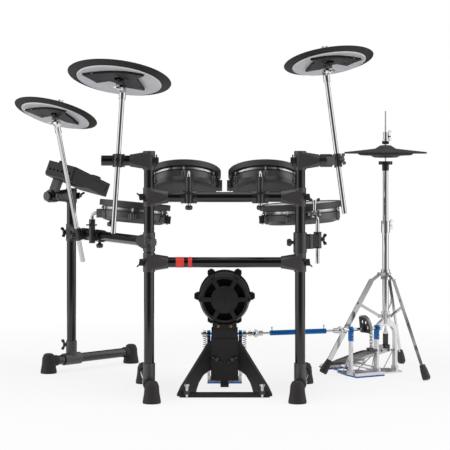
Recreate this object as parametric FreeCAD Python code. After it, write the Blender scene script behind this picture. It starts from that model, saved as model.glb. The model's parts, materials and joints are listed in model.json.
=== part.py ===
"""Electronic drum kit: pipe rack, pads, cymbals, module, kick tower, double pedal and hi-hat stand.

Millimetres. X runs to the right, Y away from the audience towards the player, Z up from the floor.
X = 0 is the middle of the rack, Y = 0 the plane of the two front posts.
"""
import math
import os

import FreeCAD, Part

V = FreeCAD.Vector
UP = V(0, 0, 1)
DOWN = V(0, 0, -1)
LEFT = V(-1, 0, 0)
RIGHT = V(1, 0, 0)

# Rack pipes and tees
TUBE_R = 19.05
TUBE_WALL = 1.6
TUBE_FIT = 0.2
POST_X = 279.4
POST_TOP = 903.0
ARM_Z = 871.0
UPPER_BAR_Z = 736.0
LOWER_BAR_Z = 494.5
WING_Z = 570.0
WING_REACH = 740.0
WING_YAW = 28.54
ARM_REACH = 172.6
RIGHT_ARM_REACH = 118.0
MODULE_ARM_Z = 722.0
MODULE_ARM_REACH = 128.0
MODULE_ARM_YAW = 225.0
TEE_WALL = 3.4
TEE_HALF = 35.0
SOCKET_REACH = 71.0
SOCKET_STOP = 24.0
CAP_THICK = 4.0

# Feet
FOOT_Z = 48.0
FOOT_FRONT = 156.0
FOOT_BACK = 310.0
FOOT_SPLAY = 6.4
WING_FOOT_FRONT = 116.0
WING_FOOT_BACK = 318.0
WING_FOOT_YAW = 223.0
BOOT_R = 33.0
BOOT_TOP = 80.0
BASE_TEE_TOP = 122.0

# Wing bolts
BOLT_R = 3.0
BOLT_FIT = 0.1
BOLT_HUB_R = 8.0
WING_SPAN = 22.0

# Cymbals
ROD_R = 9.0
RUN_FIT = 0.06
SOFT_FIT = 0.3
OPEN_FIT = 1.2
ROD_OFFSET = 34.0
HINGE_TO_PAD = 57.0
TILTER_R = 14.0
TILTER_THICK = 8.0
STUD_R = 4.0
STUD_SIDE = 20.0
ROD_TO_HINGE = 40.0
CYMBAL_THICK = 9.0
CYMBAL_RISE = 13.0
BAND_DROP = 11.5
HOUSING = [(0.56, 0.46), (-0.37, 0.47), (-0.70, 0.36), (-0.40, 0.07),
           (-0.32, -0.50), (0.0, -0.40), (0.23, -0.06), (0.50, -0.06)]
BELL_R = 42.0
BELL_RISE = 14.0
ROCK_DEG = 3.0
RIDE_R = 194.0
CRASH_R = 169.0
RIDE_ARM_X = 392.0
CRASH_ARM_BACK = 22.0
CRASH_ROD_OUT = 40.0
CRASH_WING_BACK = 146.0
RIDE = dict(azimuth=67.8, lean=8.5, tilt=17.6, side=1.0, size=RIDE_R, below=266.0, above=227.0)
CRASH_RIGHT = dict(azimuth=117.8, lean=14.0, tilt=15.8, side=-1.0, size=CRASH_R, below=194.0, above=292.0)
CRASH_LEFT = dict(azimuth=51.8, lean=-15.0, tilt=20.9, side=1.0, size=CRASH_R, below=112.0, above=408.0)

# Drum pads
TOM_R = 139.0
SNARE_R = 162.5
RIM_H = 20.0
SHELL_H = 58.0
SHELL_INSET = 9.0
SHELL_WALL = 4.0
HOOP_GAP = 16.0
JACK_REACH = 14.0
PAD_ROD_R = 6.35
PAD_ROD_OFFSET = 34.0
TOM_PLACE = V(153.0, 190.0, 826.0)
TOM_TILT = 20.0
TOM_BEND = V(132.0, -PAD_ROD_OFFSET, 836.0)
TOM_ROD_FOOT = 706.0
TOM_BOLT_Z = 752.0
TOM_LEG_BACK = 82.0
TOM_HOLDER_UP = 76.0
TOM_HOLDER_DOWN = 22.0
FLOOR_WING_BACK = 288.0
FLOOR_BEND_OUT = V(-28.6, -16.1, 91.0)
FLOOR_TOM_OUT = V(174.0, -51.0, 42.0)
FLOOR_TOM_AXIS = V(0.094, 0.035, 0.995)
FLOOR_LEG = V(0.96, -0.28, 0)
FLOOR_LEG_BACK = 26.0
FLOOR_ROD_FOOT = 545.0
FLOOR_BOLT_Z = 615.0
FLOOR_HOLDER_UP = 66.0
FLOOR_HOLDER_DOWN = 28.0
FLOOR_KNOB = V(-90.0, 20.0, -RIM_H - SHELL_H)
SNARE = V(301.0, 400.0, 698.0)
SNARE_TILT = 3.4
SNARE_EYE = V(345.0, 206.0, 664.0)
SNARE_EYE_R = 5.0
SNARE_FOOT = V(352.0, 130.0, 480.0)
SNARE_BEND_Z = 650.0
SNARE_ROD_R = 7.0
SNARE_CLAMP_Z = 568.0
SNARE_SCREW = 42.0

# Module
MODULE_L = 267.0
MODULE_W = 145.0
MODULE_H = 57.0
MODULE_YAW = 61.1
MODULE_PITCH = 16.4
MODULE_ROLL = 11.85
MODULE_OUT = V(27.0, 0, 791.0)
MODULE_RING = 100.0
PANEL_THICK = 4.0

# Kick tower
KICK_Z = 344.0
KICK_FRONT_Y = 120.0
KICK_HEAD_Y = 292.0
KICK_R = 95.5
KICK_FACE_R = 87.5
KICK_DISC_R = 52.0
COLUMN_HALF = 52.0
COLUMN_Y = 130.0
COLUMN_DEPTH = 85.0
COLUMN_WALL = 4.0
COLUMN_FOOT = 36.0
STEP_Z = 195.0
SHOULDER_Z = 230.0
TONGUE_HALF = 16.0
TONGUE_END = 288.0
FIN_TOP = 186.0
FIN_TIP = V(172.0, -8.0, 0)
FIN_THICK = 12.0
SPIKE_X = 138.0
COLUMN_BOLT_Z = 118.0

# Double pedal
AXLE_Z = 188.0
AXLE_R = 6.0
PEDAL_HALF = 62.0
CAM_R = 50.0
BEATER_LEN = 165.0
BEATER_R = 22.0
BEATER_LEAN = 42.0
HEEL_Y = 208.0
HEEL_Z = 24.0
TOE_Z = 107.0
BOARD_HALF = 42.0
BOARD_THICK = 8.0
MAIN_PEDAL = V(0, 352.0, 0)
SLAVE_PEDAL = V(562.0, 505.0, 0)
SLAVE_YAW = 28.0
JOINT_X = 120.0
SLAVE_JOINT_X = 112.0
SHAFT_R = 10.0
SHAFT_ROD_R = 4.5
SLEEVE_START = 62.0
BALL_R = 11.0
ANCHOR_Z = 40.0
SPRING_R = 7.0
SPRING_WIRE = 1.2
SPRING_TURNS = 16
CHAIN_HALF = 6.2
ROCKER_PIN_R = 6.0

# Hi-hat stand
HAT = V(659.5, 598.0, 0)
HAT_YAW = 28.0
LOWER_R = 12.7
UPPER_R = 11.0
STAND_WALL = 1.4
PULL_R = 3.5
LOWER_TOP = 590.0
HUB_Z = 230.0
COLLAR_Z = 400.0
LEG_PIVOT = 26.0
LEG_HALF = 10.0
LEG_BEND_R = 62.0
LEG_BEND_Z = 374.0
LEG_FOOT = 265.0
LEG_FOOT_Z = 12.0
BRACE_R = 114.0
BRACE_Z = LEG_BEND_Z - (LEG_BEND_Z - LEG_FOOT_Z) * (BRACE_R - LEG_BEND_R) / (LEG_FOOT - LEG_BEND_R)
LEG_TURNS = [angle - HAT_YAW for angle in (69.0, 193.0, 301.0)]
STRAP_HALF = 12.0
CUP_Z = 850.0
HAT_Z = 900.0
HAT_TOP = 1070.0

os.makedirs("parts", exist_ok=True)


def unit(vector):
    """A unit vector along the given one."""
    return V(vector) / vector.Length


def heading(angle):
    """Level unit vector at an angle from +X, in degrees."""
    return V(math.cos(math.radians(angle)), math.sin(math.radians(angle)), 0)


def frame(origin, z_axis, x_hint):
    """Placement whose local Z lies along z_axis and local X near x_hint."""
    z = unit(z_axis)
    y = unit(z.cross(x_hint))
    x = y.cross(z)
    matrix = FreeCAD.Matrix(x.x, y.x, z.x, origin.x,
                            x.y, y.y, z.y, origin.y,
                            x.z, y.z, z.z, origin.z,
                            0, 0, 0, 1)
    return FreeCAD.Placement(matrix)


def placed(shape, placement):
    """A copy of a local shape moved to its place."""
    copy = shape.copy()
    copy.Placement = placement.multiply(copy.Placement)
    return copy


def rod(start, end, radius):
    """A round bar between two points."""
    return Part.makeCylinder(radius, (end - start).Length, start, end - start)


def pipe(start, end, radius, bore):
    """A tube between two points."""
    along = unit(end - start)
    return rod(start, end, radius).cut(rod(start - along, end + along, bore))


def block(x0, x1, y0, y1, z0, z1):
    """A box between two corners."""
    return Part.makeBox(x1 - x0, y1 - y0, z1 - z0, V(x0, y0, z0))


def turned(points, placement=None):
    """A solid turned about local Z from (radius, height) points."""
    corners = [V(r, 0, z) for r, z in points]
    solid = Part.Face(Part.makePolygon(corners + corners[:1])).revolve(V(), UP, 360)
    return placed(solid, placement) if placement else solid


def plate(points, thick, placement=None):
    """A flat plate of local XY outline, thickness along local Z."""
    corners = [V(x, y, 0) for x, y in points]
    solid = Part.Face(Part.makePolygon(corners + corners[:1])).extrude(V(0, 0, thick))
    return placed(solid, placement) if placement else solid


def fused(first, *others):
    """One solid from overlapping ones."""
    solid = first
    for other in others:
        solid = solid.fuse(other)
    return solid.removeSplitter()


def save(name, shapes):
    """Write one node's solids to its file."""
    solids = []
    for shape in shapes:
        solids += shape.Solids
    Part.makeCompound(solids).exportStep("parts/%s.step" % name)


def wing_bolt(seat, axis, wing, shank):
    """A wing bolt whose head sits at seat and whose shank runs back along the axis."""
    place = frame(seat, axis, wing)
    hub = Part.makeCylinder(BOLT_HUB_R, 12, V())
    butterfly = plate([(-6, 3), (6, 3), (WING_SPAN, 9), (WING_SPAN - 2, 20), (12, 19), (6, 12),
                       (-6, 12), (-12, 19), (2 - WING_SPAN, 20), (-WING_SPAN, 9)], 5)
    butterfly.rotate(V(), V(1, 0, 0), 90)
    butterfly.translate(V(0, 2.5, 0))
    stem = Part.makeCylinder(BOLT_R, shank, V(0, 0, -shank))
    return placed(fused(hub, butterfly, stem), place)


def knob(seat, axis, shank):
    """A round hand knob on a screw."""
    head = [(0, 0), (6, 0), (6, 5), (13, 9), (14, 14), (13, 21), (9, 24), (0, 24)]
    stem = Part.makeCylinder(BOLT_R, shank, V(0, 0, -shank))
    return placed(fused(turned(head), stem), frame(seat, axis, V(0.3, 1, 0.2)))


# Rack positions that follow from the sizes
TEE_R = TUBE_R + TEE_WALL
LEFT_POST = V(-POST_X, 0, 0)
RIGHT_POST = V(POST_X, 0, 0)
WING_DIR = heading(90 + WING_YAW)
WING_POST = LEFT_POST + WING_DIR * WING_REACH
MODULE_ARM_DIR = heading(MODULE_ARM_YAW)
POST_FOOT = FOOT_Z + TUBE_R + 2
MODULE_TEE_HALF = 30.0
MODULE_CENTRE = WING_POST + MODULE_OUT
CRASH_ARM = LEFT_POST + WING_DIR * (WING_REACH - CRASH_WING_BACK) + UP * WING_Z
FLOOR_ARM = LEFT_POST + WING_DIR * (WING_REACH - FLOOR_WING_BACK) + UP * WING_Z
FLOOR_BEND = FLOOR_ARM + FLOOR_BEND_OUT
FLOOR_TOM = FLOOR_BEND + FLOOR_TOM_OUT


def at_z(point, z):
    """The same plan point at another height."""
    return V(point.x, point.y, z)


def tee(centre, direction, half=TEE_HALF):
    """A post collar with a socket for a side tube, and ears for its bolt."""
    side = unit(UP.cross(direction))
    collar = rod(centre - UP * half, centre + UP * half, TEE_R)
    socket = Part.makeCone(half - 1, TEE_R, SOCKET_REACH, centre, direction)
    cheek = TEE_R - 0.6
    cheeks = Part.makeBox(2 * half + 10, 2 * cheek, SOCKET_REACH + 10, V(-half - 5, -cheek, 3))
    body = fused(collar, socket.common(placed(cheeks, frame(centre, direction, UP))))
    ear = Part.makeBox(26, 16, 24, V(-13, -8, -12))
    body = fused(body, placed(ear, frame(centre - direction * (TEE_R + 5), UP, side)))
    body = body.cut(rod(centre - UP * (half + 1), centre + UP * (half + 1), TUBE_R + TUBE_FIT))
    body = body.cut(rod(centre + direction * SOCKET_STOP, centre + direction * (SOCKET_REACH + 1),
                        TUBE_R + TUBE_FIT))
    bolt_line = centre - direction * (TEE_R + 6)
    return body.cut(rod(bolt_line - side * 20, bolt_line + side * 20, BOLT_R + BOLT_FIT))


def tee_bolt(centre, direction, wing):
    """The wing bolt through a tee's ears, head towards the audience."""
    side = unit(UP.cross(direction))
    facing = side if side.y < 0 else side * -1
    return wing_bolt(centre - direction * (TEE_R + 6) + facing * 13, facing, wing, 30)


def base_tee(post, along):
    """The collar that stands a post on its foot bar."""
    low = at_z(post, FOOT_Z)
    body = fused(rod(low, at_z(post, BASE_TEE_TOP), TEE_R),
                 rod(low - along * 42, low + along * 42, TEE_R + 2))
    body = body.cut(rod(at_z(post, POST_FOOT), at_z(post, BASE_TEE_TOP + 1), TUBE_R + TUBE_FIT))
    return body.cut(rod(low - along * 43, low + along * 43, TUBE_R + TUBE_FIT))


def boot(end, along):
    """A bell-shaped rubber foot over the end of a foot bar."""
    bell = turned([(0, 0), (BOOT_R, 0), (BOOT_R, 8), (28, 36), (26, BOOT_TOP - 18), (20, BOOT_TOP - 4),
                   (12, BOOT_TOP), (0, BOOT_TOP)])
    bell.translate(at_z(end, 0))
    inner = at_z(end, FOOT_Z)
    sleeve = rod(inner - along * 4, inner - along * 40, TUBE_R + 3)
    return fused(bell, sleeve).cut(rod(inner + along * 6, inner - along * 60, TUBE_R + TUBE_FIT))


def tube(start, end):
    """A rack tube."""
    return pipe(start, end, TUBE_R, TUBE_R - TUBE_WALL)


def cap(end, along):
    """A plug with a rim over the open end of a rack tube."""
    rim = rod(end, end + along * CAP_THICK, TUBE_R)
    return fused(rim, rod(end - along * 12, end, TUBE_R - TUBE_WALL - TUBE_FIT))


def rack():
    """Posts, bars, arms, tees, caps, feet and their bolts."""
    start = SOCKET_STOP + 2
    bar = POST_X - start
    tubes = [tube(at_z(post, POST_FOOT), at_z(post, top)) for post, top in
             ((LEFT_POST, POST_TOP), (RIGHT_POST, POST_TOP),
              (WING_POST, MODULE_ARM_Z + MODULE_TEE_HALF - CAP_THICK))]
    tubes += [tube(V(-bar, 0, z), V(bar, 0, z)) for z in (UPPER_BAR_Z, LOWER_BAR_Z)]
    tubes.append(tube(V(-POST_X - start, 0, ARM_Z), V(-POST_X - ARM_REACH, 0, ARM_Z)))
    tubes.append(tube(V(POST_X + start, 0, ARM_Z), V(POST_X + RIGHT_ARM_REACH, 0, ARM_Z)))
    wing_low = at_z(LEFT_POST, WING_Z)
    tubes.append(tube(wing_low + WING_DIR * start, wing_low + WING_DIR * (WING_REACH - start)))
    stub = at_z(WING_POST, MODULE_ARM_Z)
    tubes.append(tube(stub + MODULE_ARM_DIR * start, stub + MODULE_ARM_DIR * MODULE_ARM_REACH))
    save("rack_tubes", tubes)

    joints = [
        (at_z(LEFT_POST, ARM_Z), LEFT, V(0, 0, 1)),
        (at_z(RIGHT_POST, ARM_Z), RIGHT, V(0, 0, 1)),
        (at_z(LEFT_POST, UPPER_BAR_Z), RIGHT, V(-1, 0, 1)),
        (at_z(RIGHT_POST, UPPER_BAR_Z), LEFT, V(1, 0, -1)),
        (at_z(LEFT_POST, LOWER_BAR_Z), RIGHT, V(-1, 0, -1)),
        (at_z(RIGHT_POST, LOWER_BAR_Z), LEFT, V(1, 0, -1)),
        (at_z(LEFT_POST, WING_Z), WING_DIR, V(1, 0, 1)),
        (at_z(WING_POST, WING_Z), WING_DIR * -1, V(-1, 0, 1)),
    ]
    tees = [tee(centre, direction) for centre, direction, wing in joints]
    tees.append(tee(stub, MODULE_ARM_DIR, MODULE_TEE_HALF))
    bolts = [tee_bolt(centre, direction, wing) for centre, direction, wing in joints]
    bolts.append(tee_bolt(stub, MODULE_ARM_DIR, V(1, 0, 0.5)))
    base_bolt = at_z(WING_POST, BASE_TEE_TOP - 16)
    bolts.append(wing_bolt(base_bolt + LEFT * TEE_R, LEFT, UP, 2))
    feet = []
    bars = []
    stands = [(LEFT_POST, heading(90 + FOOT_SPLAY), FOOT_BACK, FOOT_FRONT),
              (RIGHT_POST, heading(90 - FOOT_SPLAY), FOOT_BACK, FOOT_FRONT),
              (WING_POST, heading(WING_FOOT_YAW - 180), WING_FOOT_BACK, WING_FOOT_FRONT)]
    for post, along, back, front in stands:
        foot = base_tee(post, along)
        if post is WING_POST:
            foot = foot.cut(rod(base_bolt, base_bolt + LEFT * 40, BOLT_R + BOLT_FIT))
        tees.append(foot)
        low = at_z(post, FOOT_Z)
        bars.append(tube(low - along * front, low + along * back))
        feet += [boot(low + along * back, along), boot(low - along * front, along * -1)]
    save("rack_tees", tees)
    save("foot_bars", bars)
    save("rubber_feet", feet)
    caps = [cap(V(-POST_X - ARM_REACH, 0, ARM_Z), LEFT), cap(V(POST_X + RIGHT_ARM_REACH, 0, ARM_Z), RIGHT)]
    caps += [cap(at_z(post, POST_TOP), UP) for post in (LEFT_POST, RIGHT_POST)]
    caps.append(cap(at_z(WING_POST, MODULE_ARM_Z + MODULE_TEE_HALF - CAP_THICK), UP))
    caps.append(cap(stub + MODULE_ARM_DIR * MODULE_ARM_REACH, MODULE_ARM_DIR))
    save("pipe_caps", caps)
    return bolts


def cymbal_places():
    """Each cymbal's turns and heights, with the rack tube and the point where its rod is clamped."""
    left_arm = V(-RIDE_ARM_X, 0, ARM_Z)
    right_arm = V(POST_X + RIGHT_ARM_REACH - CRASH_ARM_BACK, 0, ARM_Z)
    ahead = V(0, -ROD_OFFSET, 0)
    beside = heading(180 + WING_YAW) * ROD_OFFSET
    return {
        "ride": dict(RIDE, arm=left_arm, arm_dir=LEFT, rod=left_arm + ahead),
        "crash_right": dict(CRASH_RIGHT, arm=right_arm, arm_dir=RIGHT, rod=right_arm + ahead + RIGHT * CRASH_ROD_OUT),
        "crash_left": dict(CRASH_LEFT, arm=CRASH_ARM, arm_dir=WING_DIR, rod=CRASH_ARM + beside),
    }


def rod_clamp(arm, arm_dir, point, rod_dir):
    """A clamp that holds an upright rod beside a rack tube."""
    collar = rod(arm - arm_dir * 22, arm + arm_dir * 22, TUBE_R + 5)
    barrel = rod(point - rod_dir * 24, point + rod_dir * 24, ROD_R + 6)
    web = placed(Part.makeBox(30, 34, (point - arm).Length, V(-15, -17, 0)), frame(arm, point - arm, UP))
    body = fused(collar, barrel, web)
    body = body.cut(rod(arm - arm_dir * 80, arm + arm_dir * 23, TUBE_R + TUBE_FIT))
    body = body.cut(rod(arm - arm_dir * 23, arm + arm_dir * 80, TUBE_R + TUBE_FIT))
    return body.cut(rod(point - rod_dir * 40, point + rod_dir * 40, ROD_R + RUN_FIT))


def cymbal_pad(size, place, side):
    """Rubber bow with its bell, bevelled band, underside plate and fishtail sensor housing, about local Z."""
    hole = STUD_R + 3
    rim = -CYMBAL_RISE
    inner, inner_z = BELL_R, 1 - CYMBAL_THICK
    edge, edge_z = size * 0.82, rim - BAND_DROP

    def below(radius, drop):
        return radius, inner_z + (edge_z - inner_z) * (radius - inner) / (edge - inner) - drop

    bow = turned([(hole, 4), (hole, BELL_RISE), (BELL_R * 0.5, BELL_RISE - 1), (BELL_R * 0.85, 6), (BELL_R, 1),
                  (size * 0.6, rim * 0.45), (size - 2, rim + 1.5), (size, rim - 0.5), (size - 1.5, rim - 3),
                  (edge, edge_z), (inner, inner_z), (hole + 14, 2)])
    under = turned([below(size * 0.30, -1), below(size * 0.79, -1), below(size * 0.79, 2), below(size * 0.30, 2)])
    housing = plate([(size * x, size * y * side) for x, y in HOUSING], 80)
    housing.translate(V(0, 0, -60))
    keep = turned([below(20, 15), below(size * 0.77, 13), below(size * 0.77, 1), below(20, 1)])
    return [placed(fused(bow, under, housing.common(keep)), place)]


def cymbals():
    """Rods, tilters, pads and clamps of the three cymbals."""
    clamps = []
    bolts = []
    for name, spec in cymbal_places().items():
        level = heading(spec["azimuth"])
        lean = math.radians(spec["lean"])
        tilt = math.radians(spec["tilt"])
        along = level * math.sin(lean) + UP * math.cos(lean)
        normal = level * math.sin(tilt) + UP * math.cos(tilt)
        hinge_axis = unit(UP.cross(level)) * spec["side"]
        point = spec["rod"]
        outward = unit(along.cross((point - spec["arm"]).cross(along)))
        clamp = rod_clamp(spec["arm"], spec["arm_dir"], point, along)
        clamps.append(clamp.cut(rod(point, point + outward * 30, BOLT_R + BOLT_FIT)))
        top = point + along * (spec["above"] / along.z)
        bottom = point - along * (spec["below"] / along.z)
        hinge = top + along * ROD_TO_HINGE
        inner = hinge - hinge_axis * (TILTER_THICK + 0.1)
        socket = rod(top, top + along * 24, ROD_R + 3.5)
        lower_disc = rod(inner, inner + hinge_axis * TILTER_THICK, TILTER_R)
        neck = placed(Part.makeBox(TILTER_THICK, 18, ROD_TO_HINGE - 10, V(-TILTER_THICK, -9, 10)),
                      frame(top - hinge_axis * 0.1, along, hinge_axis))
        pin = rod(inner, hinge + hinge_axis * (TILTER_THICK + 10), BOLT_R)
        head = rod(inner - hinge_axis * 4, inner, 6)
        across = hinge_axis.cross(along + normal)
        wing = wing_bolt(hinge + hinge_axis * (TILTER_THICK + 0.3), hinge_axis, across, 0.2)
        wing = wing.cut(rod(hinge, hinge + hinge_axis * 60, BOLT_R + BOLT_FIT))
        save(name + "_rod", [rod(bottom, top, ROD_R), fused(socket, neck, lower_disc, pin, head), wing])

        stud_foot = hinge + hinge_axis * STUD_SIDE
        upper_disc = rod(hinge + hinge_axis * 0.1, hinge + hinge_axis * TILTER_THICK, TILTER_R)
        sleeve_foot = stud_foot + normal * (TILTER_R + 2)
        sleeve = rod(sleeve_foot, stud_foot + normal * (HINGE_TO_PAD - 16), 10)
        shoulder = placed(Part.makeBox(STUD_SIDE + 6, 16, 16, V(0.1, -8, TILTER_R - 5)),
                          frame(hinge, normal, hinge_axis))
        wing_room = rod(hinge + hinge_axis * (TILTER_THICK + 0.1), hinge + hinge_axis * 60, BOLT_HUB_R + 6)
        shoulder = shoulder.cut(wing_room)
        seat = stud_foot + normal * HINGE_TO_PAD
        stud = rod(sleeve_foot, seat + normal * 44, STUD_R)
        arm = fused(upper_disc, shoulder, sleeve, stud)
        arm = arm.cut(rod(inner, hinge + hinge_axis * 60, BOLT_R + RUN_FIT))
        place = frame(seat, normal, hinge_axis)
        felt = turned([(STUD_R + 0.2, -14), (14, -14), (14, 2.0), (9, 3.15), (STUD_R + 0.2, 3.6)], place)
        top_felt = turned([(STUD_R + 0.2, BELL_RISE + 1.6), (12, BELL_RISE + 1.6), (12, BELL_RISE + 9),
                           (STUD_R + 0.2, BELL_RISE + 9)], place)
        nut = wing_bolt(seat + normal * (BELL_RISE + 9), normal, hinge_axis, 0.2)
        nut = nut.cut(rod(seat, seat + normal * 80, STUD_R + BOLT_FIT))
        save(name + "_tilter", [arm, felt, top_felt, nut])

        save(name + "_pad", cymbal_pad(spec["size"], place, spec["side"]))
        bolts.append(wing_bolt(point + outward * (ROD_R + 6), outward, along, 5))
    return clamps, bolts


def bent_rod(start, corner, end, radius, bend):
    """A round rod with one bend, from start past the corner to the end."""
    first = unit(corner - start)
    second = unit(end - corner)
    turn = first.getAngle(second)
    inset = bend * math.tan(turn / 2)
    near = corner - first * inset
    axis = unit(first.cross(second))
    centre = near + axis.cross(first) * bend
    section = Part.Face(Part.Wire(Part.Circle(near, first, radius).toShape()))
    elbow = section.revolve(centre, axis, math.degrees(turn))
    return fused(rod(start, near, radius), elbow, rod(corner + second * inset, end, radius))


def pad_shell(radius, place, lugs, jack_angle):
    """Rim, chrome-lugged shell and jack block of a drum pad; local Z is the pad's axis, 0 its head."""
    outer = radius - SHELL_INSET
    low = -RIM_H - SHELL_H
    neck = -RIM_H - HOOP_GAP
    rim = [(radius - 24, -4), (radius - 8, -4), (radius - 8, 3), (radius - 2, 3), (radius, 1), (radius, -RIM_H)]
    outside = [(outer - 5, -RIM_H), (outer - 5, neck), (outer, neck - 2), (outer, low + 18), (outer - 8, low + 6),
               (outer - 26, low), (0, low)]
    inside = [(0, low + SHELL_WALL), (outer - 28, low + SHELL_WALL), (outer - 12, low + 10), (outer - 9, low + 20),
              (outer - 9, -12)]
    shell = turned(rim + outside + inside)
    pieces = [shell]
    for index in range(lugs):
        spot = heading(jack_angle + 180.0 / lugs + index * 360.0 / lugs) * (outer - 1.6)
        bullet = turned([(0, neck - 3), (9, neck - 5), (10, neck - 12), (8, neck - 28), (4, neck - 36),
                         (0, neck - 37)])
        bullet.translate(spot)
        pieces.append(fused(bullet, rod(spot + UP * (neck - 5), spot - UP * RIM_H, 3)))
    jack = placed(Part.makeBox(JACK_REACH + 8, 44, 30, V(-8, -22, neck - 34)),
                  frame(heading(jack_angle) * outer, UP, heading(jack_angle)))
    flange = placed(Part.makeBox(3, 60, 40, V(-1, -30, neck - 38)),
                    frame(heading(jack_angle) * (outer + 1), UP, heading(jack_angle)))
    pieces += [jack, flange]
    return placed(fused(*pieces), place)


def pad_head(radius, place):
    """The mesh head that rests on a pad's inner ledge."""
    edge = radius - 8 - TUBE_FIT
    return turned([(0, -4), (edge, -4), (edge, -1), (edge - 4, -1), (0, 0)], place)


def holder(arm, arm_dir, point, up, down, bore):
    """A clamp round a rack tube with an upright tube for a pad rod."""
    collar = rod(arm - arm_dir * 30, arm + arm_dir * 30, TUBE_R + 5)
    barrel = rod(point - UP * down, point + UP * up, bore + 6)
    web = placed(Part.makeBox(34, 30, (point - arm).Length, V(-17, -15, 0)), frame(arm, point - arm, UP))
    body = fused(collar, barrel, web).cut(rod(arm - arm_dir * 31, arm + arm_dir * 31, TUBE_R + TUBE_FIT))
    return body.cut(rod(point - UP * (down + 1), point + UP * (up + 1), bore + TUBE_FIT))


def drilled(body, seats):
    """A body with a clearance hole for each bolt seat."""
    for seat, axis in seats:
        body = body.cut(rod(seat - axis * 5, seat + axis * 2, BOLT_R + BOLT_FIT))
    return body


def leg_bracket(mouth, leg_dir, up_hint):
    """A block with a bore that turns on a pad rod's level leg."""
    place = frame(mouth, leg_dir, up_hint)
    body = Part.makeBox(34, 40, 66, V(-17, -20, 0))
    return placed(body.cut(Part.makeCylinder(PAD_ROD_R + RUN_FIT, 54, V(0, 0, -1))), place)


def hung(shell, bracket, place, reach, depth):
    """A shell with a bracket that stops at its wall, within a reach and depth of the pad's middle."""
    room = turned([(0, -depth), (reach, -depth), (reach, 20), (0, 20)], place)
    return fused(shell, bracket.cut(room))


def toms():
    """The two rack toms on bent rods, with their holders and bolts."""
    rods = []
    clamps = []
    bolts = []
    tilt = math.radians(TOM_TILT)
    leg = V(0, math.cos(tilt), -math.sin(tilt))
    for name, side in (("tom_left", -1), ("tom_right", 1)):
        place = frame(V(side * TOM_PLACE.x, TOM_PLACE.y, TOM_PLACE.z), V(0, math.sin(tilt), math.cos(tilt)), RIGHT)
        bend = V(side * TOM_BEND.x, TOM_BEND.y, TOM_BEND.z)
        mouth = bend + leg * TOM_LEG_BACK
        shell = pad_shell(TOM_R, place, 6, 180 if side > 0 else 0)
        shell = hung(shell, leg_bracket(mouth, leg, RIGHT), place, TOM_R - 18, 77)
        save(name + "_shell", [shell.cut(rod(bend, mouth + leg * 53, PAD_ROD_R + RUN_FIT))])
        save(name + "_head", [pad_head(TOM_R, place)])
        rods.append(bent_rod(at_z(bend, TOM_ROD_FOOT), bend, mouth + leg * 50, PAD_ROD_R, 17))
        arm = V(bend.x, 0, UPPER_BAR_Z)
        clamp = holder(arm, RIGHT, at_z(bend, UPPER_BAR_Z), TOM_HOLDER_UP, TOM_HOLDER_DOWN, PAD_ROD_R)
        seats = [(arm - UP * (TUBE_R + 5), DOWN),
                 (at_z(bend, TOM_BOLT_Z) - V(0, PAD_ROD_R + 6, 0), V(0, -1, 0))]
        clamps.append(drilled(clamp, seats))
        bolts += [knob(*seats[0], 4), wing_bolt(*seats[1], V(side, 0, 0.3), 4)]
    return rods, clamps, bolts


def floor_tom():
    """The floor tom on the wing tube, with its rod, holder and bolts."""
    place = frame(FLOOR_TOM, FLOOR_TOM_AXIS, RIGHT)
    leg = unit(FLOOR_LEG)
    bend = FLOOR_BEND
    mouth = bend + leg * FLOOR_LEG_BACK
    shell = hung(pad_shell(TOM_R, place, 6, 0), leg_bracket(mouth, leg, UP), place, TOM_R - 19, 80)
    shell = shell.cut(rod(bend, mouth + leg * 53, PAD_ROD_R + RUN_FIT))
    under = unit(FLOOR_TOM_AXIS) * -1
    seat = place.multVec(FLOOR_KNOB)
    save("floor_tom_shell", [drilled(shell, [(seat, under)]), knob(seat, under, 3)])
    save("floor_tom_head", [pad_head(TOM_R, place)])
    stem = bent_rod(at_z(bend, FLOOR_ROD_FOOT), bend, mouth + leg * 50, PAD_ROD_R, 15)
    clamp = holder(FLOOR_ARM, WING_DIR, at_z(bend, WING_Z), FLOOR_HOLDER_UP, FLOOR_HOLDER_DOWN, PAD_ROD_R)
    seats = [(FLOOR_ARM - UP * (TUBE_R + 5), DOWN),
             (at_z(bend, FLOOR_BOLT_Z) - V(0, PAD_ROD_R + 6, 0), V(0, -1, 0))]
    return [stem], [drilled(clamp, seats)], [knob(*seats[0], 4), wing_bolt(*seats[1], RIGHT, 4)]


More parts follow.
